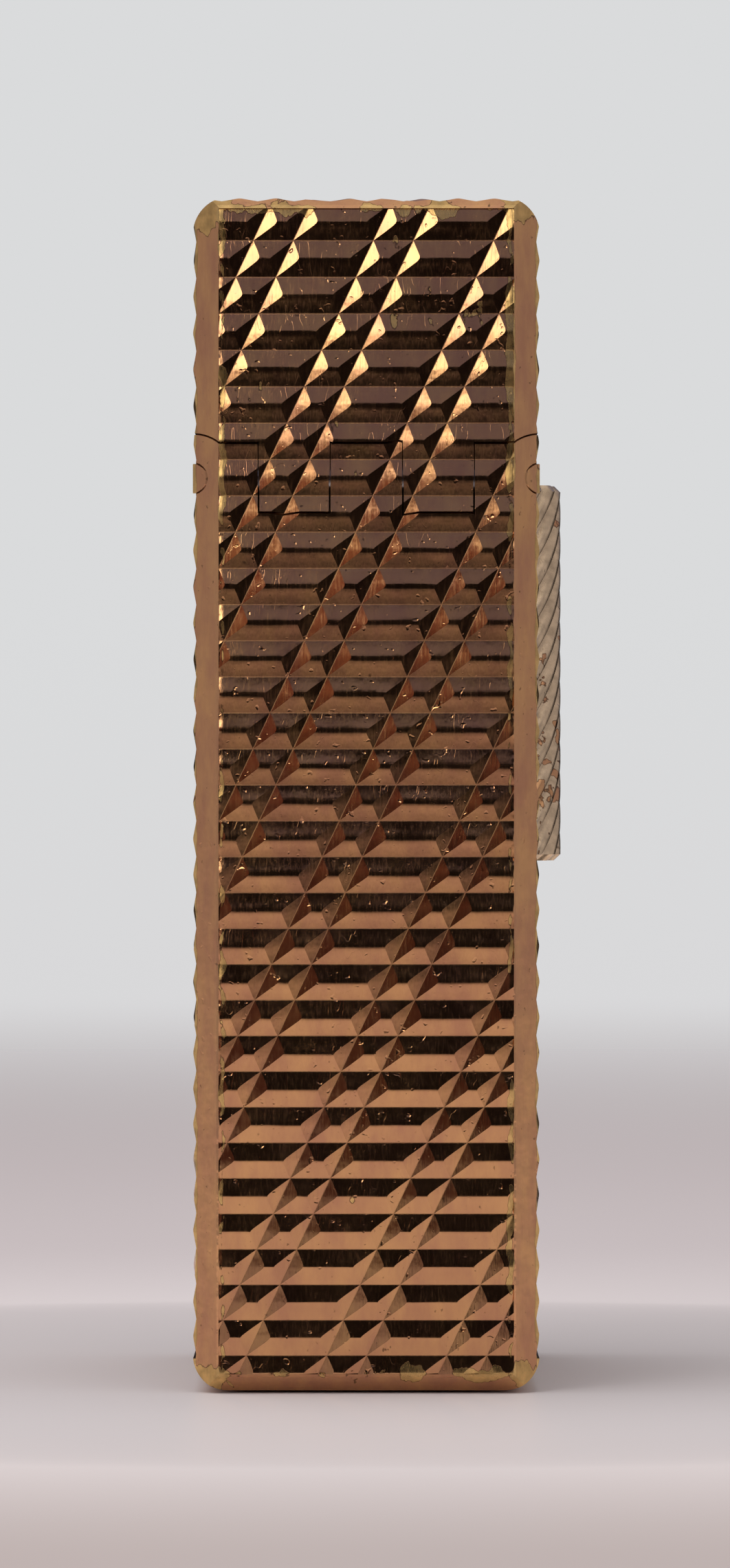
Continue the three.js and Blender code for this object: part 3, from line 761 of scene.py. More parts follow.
def nickel_plate():
    """Bright nickel plate on the pressed screen: warm white, heat-blued and sooted towards the top."""
    colours = bpy.context.scene.finishes
    material, tree, shader, place = new_metal("nickel_plate", colours.nickel, 0.2)
    z = add_node(tree, "ShaderNodeSeparateXYZ", place).outputs[2]
    guard_low, guard_high = box_of("wind_guard")
    heat = spread(tree, z, guard_low.z + 2.5, guard_high.z, 0.0, 0.5)
    cloud = noise(tree, place, 1.1, 3.0)
    heated = arithmetic(tree, "*", heat, spread(tree, cloud, 0.3, 0.6))
    colour = mixed(tree, heated, rgba(colours.nickel), rgba(srgb("7D6A5C")))
    rough = spread(tree, cloud, 0.3, 0.7, 0.14, 0.3)
    surfaced(tree, shader, colour, rough, noise(tree, place, 2.6, 3.0), 0.01)
    return material


def moulded_rubber():
    """Moulded nitrile rubber: nearly black, matt, with a fine leathery skin."""
    colours = bpy.context.scene.finishes
    material, tree, shader, place = new_metal("moulded_rubber", colours.rubber, 0.6, metallic=0.0)
    dust = spread(tree, noise(tree, place, 1.4, 4.0, 0.6), 0.5, 0.8, 0.0, 0.35)
    colour = mixed(tree, dust, rgba(colours.rubber), rgba(srgb("4A4644")))
    rough = spread(tree, dust, 0.0, 0.35, 0.5, 0.75)
    surfaced(tree, shader, colour, rough, noise(tree, place, 7.0, 3.0), 0.02)
    return material


def pressed_ferrocerium():
    """Pressed ferrocerium: dark brown-grey, grainy, half metallic, with a chalky oxide bloom."""
    colours = bpy.context.scene.finishes
    material, tree, shader, place = new_metal("pressed_ferrocerium", colours.ferro, 0.55, metallic=0.6)
    bloom = spread(tree, noise(tree, place, 2.0, 4.0, 0.65), 0.45, 0.72, 0.0, 0.6)
    colour = mixed(tree, bloom, rgba(colours.ferro), rgba(srgb("8C8478")))
    rough = spread(tree, bloom, 0.0, 0.6, 0.45, 0.8)
    surfaced(tree, shader, colour, rough, noise(tree, place, 8.0, 3.0), 0.03)
    return material


MAKERS = {
    "rose_gold": rose_gold_plate, "brass": turned_brass, "steel": ground_steel,
    "spring_steel": spring_wire, "nickel": nickel_plate, "rubber": moulded_rubber,
    "ferro": pressed_ferrocerium,
}


def made_once(maker):
    """The maker's material, made on first use. It bears the maker's name."""
    return bpy.data.materials.get(maker.__name__) or maker()


def finish_for(slot):
    return made_once(MAKERS[slot])


# ---------------------------------------------------------------- the engine-turned case


def turning_tree():
    """Cuts one flat side of a shell with level grooves and with slanted ones, two cut and the third left out.

    The pattern is worked out in a side's own plane, x along the side and y up it. Its mesh has four lines to
    each slanted groove: its two shoulders, its bottom and one halfway to the next groove. The mesh is
    thickened into a cutter, trimmed and taken off the shell.
    """
    tree, given = new_geometry_tree(
        "Engine Turning",
        {
            "Geometry": None, "Place": (0, 0, 0), "Turn": (0, 0, 0), "Half Width": 5.7, "Low": 0.7,
            "High": 45.5, "Row Pitch": 1.41, "Creep": 0.0015, "First Row": 44.34, "Lean": 0.44,
            "Slant Pitch": 1.543, "Slant Start": -4.36, "Slant Reach": 0.6, "Depth": 0.14,
            "Skin": 0.012, "Cuts": 10, "Rows": 36, "Slants": 32, "First Slant": -6.0,
            "Material": None,
        },
    )
    m = partial(arithmetic, tree)

    # Rows are counted down from the first, in fractions, and slanted grooves to the right, in whole numbers
    columns = m("*", given["Slants"], 4.0)
    lines = m("*", given["Rows"], given["Cuts"])
    grid = add_node(
        tree, "GeometryNodeMeshGrid", columns, given["Rows"], m("+", columns, 1), m("+", lines, 1)
    ).outputs["Mesh"]
    at = add_node(tree, "ShaderNodeSeparateXYZ", add_node(tree, "GeometryNodeInputPosition").outputs[0])
    row = m("-", m("-", m("*", given["Rows"], 0.5), 2.0), at.outputs[1])
    column = m("ROUND", m("+", at.outputs[0], m("*", columns, 0.5)))
    whole = m("FLOOR", m("/", column, 4.0))
    slant = m("+", whole, given["First Slant"])
    side = m("-", m("-", column, m("*", whole, 4.0)), 1.0)

    # Lines crowd towards the ridges, where the surface turns
    nearest = m("ROUND", row)
    off = m("-", row, nearest)
    crowded = m("POWER", m("-", 1.0, m("*", m("ABSOLUTE", off), 2.0)), 1.6)
    crowded = m("*", m("-", 1.0, crowded), 0.5)
    row = m("+", nearest, m("*", m("SIGN", off), crowded))

    # Height of each line on the side, with a pitch that creeps as the rows go down
    drop = m("*", row, given["Row Pitch"])
    crept = m("*", m("*", row, row), m("*", given["Creep"], 0.5))
    up = m("+", m("-", given["First Row"], drop), crept)
    shear = m("*", m("-", up, given["First Row"]), m("TANGENT", given["Lean"]))
    bottom_line = m("+", m("+", given["Slant Start"], m("*", slant, given["Slant Pitch"])), shear)

    # Slightly hollow flanks and rounded ridges, a little rubbed: 0 in a level groove and 1 on a ridge
    crown, crown_blend = 0.9, 0.1
    share = m("*", m("PINGPONG", row, 0.5), 2.0)
    rise = m("/", m("SMOOTH_MIN", m("POWER", share, 1.1), crown, crown_blend), crown)
    step = m("*", given["Slant Pitch"], 0.25)
    even_place = point_at(tree, m("+", bottom_line, m("*", side, step)), up, 0.0)
    place_3d = add_node(tree, "ShaderNodeVectorMath", even_place, given["Place"], operation="ADD").outputs[0]
    rubbed = add_node(tree, "ShaderNodeTexNoise", place_3d, None, 0.8, 2.0).outputs[0]
    rise = m("*", rise, spread(tree, rubbed, 0.35, 0.65, 0.9, 1.0))

    # A slanted groove is as wide as the ridge is high there, so it runs out to a point in each level groove
    is_cut = m("LESS_THAN", m("FLOORED_MODULO", slant, 3.0), 1.5)
    beside = m("*", is_cut, m("LESS_THAN", side, 1.5))
    shoulder = m("-", m("*", m("POWER", rise, 0.87), given["Slant Reach"]), step)
    along = m("+", bottom_line, m("*", side, m("+", step, m("*", beside, shoulder))))
    in_bottom = m("*", is_cut, m("COMPARE", side, 0.0, 0.1))
    rise = m("*", rise, m("-", 1.0, in_bottom))
    surface = m("*", m("-", rise, 1.0), given["Depth"])
    target = point_at(tree, along, up, m("-", surface, given["Skin"]))
    cut_face = add_node(tree, "GeometryNodeSetPosition", grid, None, target).outputs[0]

    # A cutter with the pattern underneath and two millimetres of thickness
    thick = add_node(tree, "GeometryNodeExtrudeMesh", cut_face, None, (0.0, 0.0, 1.0), 2.0)
    thick.inputs["Individual"].default_value = False
    under = add_node(tree, "GeometryNodeFlipFaces", cut_face).outputs[0]
    cutter = merged(tree, joined(tree, under, thick.outputs["Mesh"]))

    width = m("*", given["Half Width"], 2.0)
    height = m("-", given["High"], given["Low"])
    window = add_node(tree, "GeometryNodeMeshCube", point_at(tree, width, height, 3.0)).outputs["Mesh"]
    middle = m("*", m("+", given["High"], given["Low"]), 0.5)
    window = moved(tree, window, point_at(tree, 0.0, middle, 0.5))
    placed = moved(tree, boolean_of(tree, "INTERSECT", cutter, window), given["Place"], given["Turn"])
    end_tree(tree, boolean_of(tree, "DIFFERENCE", given["Geometry"], placed), given["Material"])
    return tree


class LIGHTER_OT_case(bpy.types.Operator):
    """Cuts the engine turning into the case and the lid"""

    bl_idname = "lighter.case"
    bl_label = "Case and Lid"

    def execute(self, context):
        turning = context.scene.turning
        tree = turning_tree()
        names = [name for name in turning.bl_rna.properties.keys() if name not in ("rna_type", "name")]
        shared = {name.replace("_", " ").title(): getattr(turning, name) for name in names}
        shared["Material"] = finish_for("rose_gold")
        narrow = {
            "Half Width": HALF_X - EDGE_BEVEL + 0.05, "Low": BASE_BEVEL, "High": HEIGHT - TOP_BEVEL,
            "Slants": 23, "First Slant": -2.0,
        }
        broad = {"Half Width": HALF_Y + 1.0, "Low": 1.2, "High": HEIGHT - 0.5}
        sides = [
            {**narrow, "Place": (0, -HALF_Y, 0), "Turn": (QUARTER, 0, 0)},
            {**narrow, "Place": (0, HALF_Y, 0), "Turn": (QUARTER, 0, 2 * QUARTER)},
            {**broad, "Place": (HALF_X, 0, 0), "Turn": (QUARTER, 0, QUARTER)},
            {**broad, "Place": (-HALF_X, 0, 0), "Turn": (QUARTER, 0, -QUARTER)},
        ]
        top = {
            "Half Width": HALF_Y + 1.0, "Low": -HALF_X + 0.6, "High": HALF_X - 0.6,
            "Place": (0, 0, HEIGHT), "Turn": (0, 0, -QUARTER), "First Row": 5 * turning.row_pitch,
            "Rows": 14,
        }
        shells = (("body_shell", "turned_case", sides), ("lid_shell", "turned_lid", [*sides, top]))
        for node, name, faces in shells:
            holder = link(name + "_maker", cad_copy(node))
            for face in faces:
                add_modifier(holder, tree, {**shared, **face})
            piece = baked(holder, name)
            crisp(piece.data, 8)
            take_place(piece, node)
        return {"FINISHED"}


# ---------------------------------------------------------------- roller and striker wheel


def cut_drum_tree():
    """A bored drum with ribs that climb as they go round, or with teeth where two sets of ribs cross."""
    tree, given = new_geometry_tree(
        "Cut Drum",
        {
            "Radius": 4.3, "Bore": 0.84, "Low": 0.0, "High": 15.0, "Ribs": 22, "Depth": 0.42,
            "Lean": 1.0, "Crossed": 0.0, "Points": 12, "Levels": 40, "Ease": 0.25,
            "Material": None,
        },
    )
    m = partial(arithmetic, tree)

    around = m("*", given["Ribs"], given["Points"])
    # Levels up the side, one more at each end of the bore, and a last one that meets the first
    rows = m("+", given["Levels"], 4.0)
    grid = add_node(tree, "GeometryNodeMeshGrid", around, rows, m("+", around, 1), m("+", rows, 1))
    at = add_node(tree, "ShaderNodeSeparateXYZ", add_node(tree, "GeometryNodeInputPosition").outputs[0])
    turn = m("*", m("/", at.outputs[0], around), 2 * math.pi)
    level = m("+", at.outputs[1], m("*", rows, 0.5))

    side = m("/", m("-", level, 2.0), m("-", rows, 5.0))
    share = m("MINIMUM", m("MAXIMUM", side, 0.0), 1.0)
    eased_low = m("+", given["Low"], given["Ease"])
    eased_high = m("-", given["High"], given["Ease"])
    up = m("+", eased_low, m("*", share, m("-", eased_high, eased_low)))
    first = m("LESS_THAN", level, 1.5)
    last = m("GREATER_THAN", level, m("-", rows, 2.5))
    closing = m("GREATER_THAN", level, m("-", rows, 0.5))
    up = m("-", up, m("*", first, given["Ease"]))
    up = m("+", up, m("*", last, given["Ease"]))
    up = m("-", up, m("*", closing, m("-", given["High"], given["Low"])))

    # Each rib: a rounded ridge with a narrower round-bottomed groove beside it
    climb = m("/", m("*", m("-", up, given["Low"]), given["Lean"]), given["Radius"])
    to_ribs = m("/", given["Ribs"], 2 * math.pi)

    def ridge(angle):
        swing = m("PINGPONG", m("*", angle, to_ribs), 0.5)
        return m("SMOOTH_MIN", m("*", m("SMOOTH_MAX", swing, 0.06, 0.1), 2.9), 1.0, 0.35)

    # The lines of the mesh climb with the ribs, and the crossing set leans the other way
    crossing = ridge(m("+", turn, m("*", climb, 2.0)))
    one = ridge(turn)
    other = m("MAXIMUM", crossing, m("-", 1.0, given["Crossed"]))
    rise = m("MINIMUM", one, other)
    radius = m("-", given["Radius"], m("*", m("-", 1.0, rise), given["Depth"]))
    radius = m("-", radius, m("*", m("+", first, last), given["Ease"]))
    inside = m("+", m("LESS_THAN", level, 0.5), m("GREATER_THAN", level, m("-", rows, 1.5)))
    radius = m("+", m("*", radius, m("-", 1.0, inside)), m("*", given["Bore"], inside))

    turn = m("+", turn, climb)
    spot = on_circle(tree, radius, turn, up)
    placed = add_node(tree, "GeometryNodeSetPosition", grid.outputs["Mesh"], None, spot)
    end_tree(tree, merged(tree, placed.outputs[0]), given["Material"])
    return tree


def pointed_out(mesh):
    """Turns a closed mesh's faces outwards."""
    work = bmesh.new()
    work.from_mesh(mesh)
    bmesh.ops.recalc_face_normals(work, faces=work.faces)
    work.to_mesh(mesh)
    work.free()
    return mesh


def drum(name, tree, values, at, degrees):
    """The drum as a mesh in millimetres, stood at its place."""
    piece = made_by(tree, name, values)
    mesh = pointed_out(piece.data)
    mesh.transform(Matrix.Translation((at.x, at.y, 0)))
    bpy.data.objects.remove(piece)
    crisp(mesh, degrees)
    return mesh


class LIGHTER_OT_roller(bpy.types.Operator):
    """Makes the roller, its spindle, the striker wheel and their bearings"""

    bl_idname = "lighter.roller"
    bl_label = "Roller and Striker"

    def execute(self, context):
        settings = context.scene.roller
        tree = cut_drum_tree()
        axis = middle_of("spindle")
        at = (axis.x, axis.y)
        spindle_low, spindle_high = box_of("spindle")
        low, high = box_of("roller")
        bore = 0.84
        roller = drum(
            "ribbed_roller",
            tree,
            {
                "Radius": high.y - axis.y, "Bore": bore, "Low": low.z, "High": high.z,
                "Ribs": settings.ribs, "Depth": settings.rib_depth, "Points": 14, "Levels": 56,
                "Material": made_once(worn_plate),
            },
            axis,
            35,
        )
        take_place(link("ribbed_roller", roller), "roller")

        low, high = box_of("striker_wheel")
        hub = 1.25
        wheel_low, wheel_high = low.z + 0.6, high.z - 0.2
        wheel = drum(
            "striker_teeth",
            tree,
            {
                "Radius": high.y - axis.y, "Bore": hub - 0.3, "Low": wheel_low, "High": wheel_high,
                "Ribs": settings.teeth, "Depth": settings.tooth_depth, "Lean": 0.6, "Crossed": 1.0,
                "Points": 8, "Levels": 26, "Ease": 0.12, "Material": made_once(hardened_teeth),
            },
            axis,
            30,
        )
        teeth = built("toothed_wheel", wheel, add=[tube(hub, bore, low.z, high.z, at)], degrees=30)
        teeth.data.materials.append(made_once(hardened_teeth))
        take_place(teeth, "striker_wheel")

        pivot, body = 0.5, 0.8
        step_low, step_high = 20.25, spindle_high.z - 0.95
        profile = stepped(spindle_low.z, (pivot, step_low), (body, step_high), (pivot, spindle_high.z))
        fitted("spindle_shaft", turned(profile, at, ease=0.08), "spindle")

        low, high = box_of("lower_bearing")
        plate_top = high.z - 0.25
        plate = pressed(cut_corners(low[:2], high[:2], 0.7), low.z, plate_top)
        boss = rod(1.5, plate_top - 0.4, high.z, at, ease=0.12)
        screw_spot = rod(0.35, low.z - 1, high.z + 1, (low.x + 1.0, low.y + 1.0), ease=0)
        pivot_hole = rod(pivot + 0.05, low.z - 1, high.z + 1, at, ease=0)
        fitted("bearing_plate", plate, "lower_bearing", add=[boss], cut=[pivot_hole, screw_spot])

        low, high = box_of("striker_bridge")
        arm_low = high.z - 0.6
        arm_outline = [*arc(at, 1.0, 180, 360, 24), (at[0] + 1.0, 9.4), (at[0] - 1.0, 9.4)]
        arm = pressed(arm_outline, arm_low, high.z, ease=0.08)
        post = block((2.2, 9.0, low.z), (5.0, 9.7, high.z), ease=0.1)
        foot = block((0.2, 9.0, low.z), (2.6, 10.4, low.z + 0.55), ease=0.1)
        screw_holes = holes_at(["bridge_screw"], 0.46, 30, 38)
        pivot_hole = rod(pivot + 0.05, 30, 45, at, ease=0)
        fitted("bridge_bracket", arm, "striker_bridge", add=[post, foot], cut=[*screw_holes, pivot_hole])
        return {"FINISHED"}


# ---------------------------------------------------------------- springs


def coil_spring_tree():
    """A compression spring along +Z from 0, with its end turns closed and its wire ends flat."""
    tree, given = new_geometry_tree(
        "Coil Spring",
        {
            "Radius": 0.7, "Wire": 0.13, "Length": 4.0, "Turns": 6.0, "Steps": 32,
            "Material": None,
        },
    )
    m = partial(arithmetic, tree)

    points, along, angle = winding(tree, given["Turns"], m("*", given["Turns"], given["Steps"]))
    # A little over half a turn lies flat at each end
    closed = m("/", 0.55, given["Turns"])
    climb = spread(tree, along, closed, m("-", 1.0, closed), 0.0, 1.0, "SMOOTHSTEP")
    straight = spread(tree, along, closed, m("-", 1.0, closed))
    climb = m("+", m("*", climb, 0.35), m("*", straight, 0.65))
    room = m("-", given["Length"], m("*", given["Wire"], 2.0))
    up = m("+", given["Wire"], m("*", climb, room))
    spots = on_circle(tree, given["Radius"], angle, up)
    end_tree(tree, wire_along(tree, points, spots, 12, given["Wire"]), given["Material"])
    return tree


class LIGHTER_OT_springs(bpy.types.Operator):
    """Winds the three coil springs and presses the lid's forked leaf spring"""

    bl_idname = "lighter.springs"
    bl_label = "Springs"

    def execute(self, context):
        tree = coil_spring_tree()
        coils = {
            "filler_spring": ("Z", 0.14, 5), "lever_spring": ("Z", 0.11, 3),
            "flint_spring": ("Y", 0.13, 9),
        }
        # The joint that closes a coil up, how far it travels, and whether the coil rests on its low end
        pressed_by = {
            "filler_spring": ("filler_press", 0.8, False),
            "flint_spring": ("flint_feed", 1.5, True),
        }
        for node, (axis, wire, turns) in coils.items():
            low, high = box_of(node)
            middle = (low + high) / 2
            size = high - low
            length = size.z if axis == "Z" else size.y
            radius = size.x / 2 - wire
            values = {"Radius": radius, "Wire": wire, "Length": length, "Turns": turns, "Steps": 32}
            values["Material"] = finish_for("spring_steel")
            piece = made_by(tree, node.replace("spring", "coil"), values)
            mesh = pointed_out(piece.data)
            mesh.transform(ALONG[axis])
            start = (middle.x, middle.y, low.z) if axis == "Z" else (middle.x, low.y, middle.z)
            mesh.transform(Matrix.Translation(start))
            crisp(mesh, 50)
            take_place(piece, node)
            if node in pressed_by:
                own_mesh(piece)

        low, high = box_of("lid_spring")
        back, front = low.y, low.y + 0.35
        inner, tip = 1.76, high.z
        fork = [
            (low.x, low.z), (high.x, low.z), (high.x, tip), (inner, tip), (inner, low.z + 9.5),
            (-inner, low.z + 9.5), (-inner, tip), (low.x, tip),
        ]
        # Drawn in the plane of the side with its height first, as the turn along Y takes it
        outline = [(z, x) for x, z in reversed(eased(fork, 0.5, steps=5))]
        leaf = pressed(outline, back, front, "Y", ease=0.05)
        lips = []
        for side in (-1, 1):
            ends = sorted((side * inner, side * (high.x - 0.02)))
            lips.append(block((ends[0], back + 0.1, tip - 0.35), (ends[1], high.y, tip), ease=0.08))
        screw = middle_of("lid_spring_screw")
        hole = rod(0.66, back - 1, front + 1, (screw.z, screw.x), "Y", ease=0)
        window = eased(rectangle((22.5, -0.35), (25.5, 0.35)), 0.3, steps=5)
        window = pressed(window, back - 1, front + 1, "Y", ease=0)
        fitted("forked_spring", leaf, "lid_spring", add=lips, cut=[hole, window])
        return {"FINISHED"}


# ---------------------------------------------------------------- screws


def slotted_screw_tree():
    """A slotted cheese-head screw: its head stands on 0 along +Z and its threaded shank hangs below."""
    tree, given = new_geometry_tree(
        "Slotted Screw",
        {
            "Head Radius": 1.05, "Head Height": 0.65, "Chamfer": 0.12, "Slot Width": 0.32,
            "Slot Depth": 0.3, "Shank Radius": 0.6, "Shank Length": 2.9, "Thread Pitch": 0.3,
            "Material": None,
        },
    )
    m = partial(arithmetic, tree)

    def drum_between(low, high, radius, top_radius=None):
        cone = add_node(tree, "GeometryNodeMeshCone", 64)
        for socket, value in (
            ("Radius Top", top_radius or radius), ("Radius Bottom", radius),
            ("Depth", m("-", high, low)),
        ):
            tree.links.new(value, cone.inputs[socket])
        return moved(tree, cone.outputs["Mesh"], point_at(tree, 0.0, 0.0, low))

    head, chamfer = given["Head Height"], given["Chamfer"]
    shoulder = m("-", head, chamfer)
    straight = drum_between(m("+", 0.0, 0.0), shoulder, given["Head Radius"])
    cap = drum_between(shoulder, head, given["Head Radius"], m("-", given["Head Radius"], chamfer))
    bottom = m("*", given["Shank Length"], -1.0)
    core = m("-", given["Shank Radius"], m("*", given["Thread Pitch"], 0.32))
    shank = drum_between(bottom, m("*", head, 0.5), core)

    # The thread: a three-sided ridge wound round the shank, tapering off at neither end
    turns = m("/", m("-", given["Shank Length"], 0.35), given["Thread Pitch"])
    points, along, angle = winding(tree, turns, m("*", turns, 24.0))
    ridge = m("*", given["Thread Pitch"], 0.42)
    middle = m("-", given["Shank Radius"], ridge)
    up = spread(tree, along, 0.0, 1.0, m("+", bottom, 0.2), -0.15)
    thread = wire_along(tree, points, on_circle(tree, middle, angle, up), 4, ridge)

    whole = boolean_of(tree, "UNION", straight, cap, shank)
    slot_length = m("*", given["Head Radius"], 3.0)
    slot_size = point_at(tree, slot_length, given["Slot Width"], given["Slot Depth"])
    slot = add_node(tree, "GeometryNodeMeshCube", slot_size)
    sunk = m("-", head, m("*", given["Slot Depth"], 0.499))
    lowered = moved(tree, slot.outputs["Mesh"], point_at(tree, 0.0, 0.0, sunk))
    slotted = boolean_of(tree, "DIFFERENCE", whole, lowered)
    end_tree(tree, joined(tree, thread, slotted), given["Material"])
    return tree


class LIGHTER_OT_screws(bpy.types.Operator):
    """Makes the slotted screws"""

    bl_idname = "lighter.screws"
    bl_label = "Screws"

    def execute(self, context):
        tree = slotted_screw_tree()
        sizes = {
            "deck": {"Head Radius": 1.05, "Head Height": 0.65, "Shank Radius": 0.58},
            "base": {"Head Radius": 0.88, "Head Height": 0.7, "Shank Radius": 0.48, "Slot Width": 0.28},
            "bridge": {"Head Radius": 0.72, "Head Height": 0.45, "Shank Radius": 0.38, "Slot Width": 0.24},
            "lid": {"Head Radius": 1.2, "Head Height": 0.7, "Shank Radius": 0.58, "Slot Width": 0.4},
            "flint": {"Head Radius": 1.2, "Head Height": 0.8, "Shank Radius": 0.88, "Slot Width": 0.32},
        }
        over = Matrix.Rotation(math.pi, 4, "X")
        ways = {"up": ALONG["Z"], "down": over, "front": ALONG["Y"], "back": over @ ALONG["Y"]}
        screws = (
            ("deck_screw_1", "deck", "up"), ("deck_screw_2", "deck", "up"),
            ("base_screw_1", "base", "down"), ("base_screw_2", "base", "down"),
            ("bridge_screw", "bridge", "up"), ("lid_spring_screw", "lid", "front"),
            ("flint_screw", "flint", "back"),
        )
        for number, (node, kind, way) in enumerate(screws):
            low, high = box_of(node)
            middle = (low + high) / 2
            size = sizes[kind]
            head = size["Head Height"]
            span = high.z - low.z if way in ("up", "down") else high.y - low.y
            values = {"Thread Pitch": 0.28, "Slot Depth": head * 0.45, "Shank Length": span - head, **size}
            values["Material"] = finish_for("steel")
            piece = made_by(tree, node.replace("screw", "cheese_head"), values)
            # Each slot stops at its own angle, as tightened screws do
            mesh = piece.data
            mesh.transform(Matrix.Rotation(0.7 + 1.9 * number, 4, "Z"))
            mesh.transform(ways[way])
            underside = {
                "up": (middle.x, middle.y, high.z - head), "down": (middle.x, middle.y, low.z + head),
                "front": (middle.x, high.y - head, middle.z),
                "back": (middle.x, low.y + head, middle.z),
            }
            mesh.transform(Matrix.Translation(underside[way]))
            crisp(mesh, 35)
            take_place(piece, node)
        return {"FINISHED"}


# ---------------------------------------------------------------- hinge


class LIGHTER_OT_hinge(bpy.types.Operator):
    """Makes the hinge pin and the two plugs that hide its ends"""

    bl_idname = "lighter.hinge"
    bl_label = "Hinge"

    def execute(self, context):
        low, high = box_of("hinge_pin")
        middle = (low + high) / 2
        radius = (high.z - low.z) / 2
        at = (middle.y, middle.z)
        fitted("steel_hinge_pin", rod(radius, low.x, high.x, at, "X", ease=0.15), "hinge_pin")
        for side, node in ((1, "pin_plug_right"), (-1, "pin_plug_left")):
            low, high = box_of(node)
            plug = rod(radius - 0.03, low.x, high.x, at, "X", ease=0.03)
            # The plug is dressed flush with the bevel that it comes out of
            reach = 4.0
            bevel_block = block((-reach, 0, -reach), (reach, reach, reach), ease=0)
            turn = Matrix.Rotation(math.radians(180 + 45 * side), 4, "Z")
            bevel_block.transform(Matrix.Translation((side * HALF_X, EDGE_BEVEL - HALF_Y, middle.z)) @ turn)
            fine = fitted(node + "_fine", plug, node, cut=[bevel_block])
            fine.data.materials[0] = finish_for("rose_gold")
        return {"FINISHED"}


# ---------------------------------------------------------------- base and tank


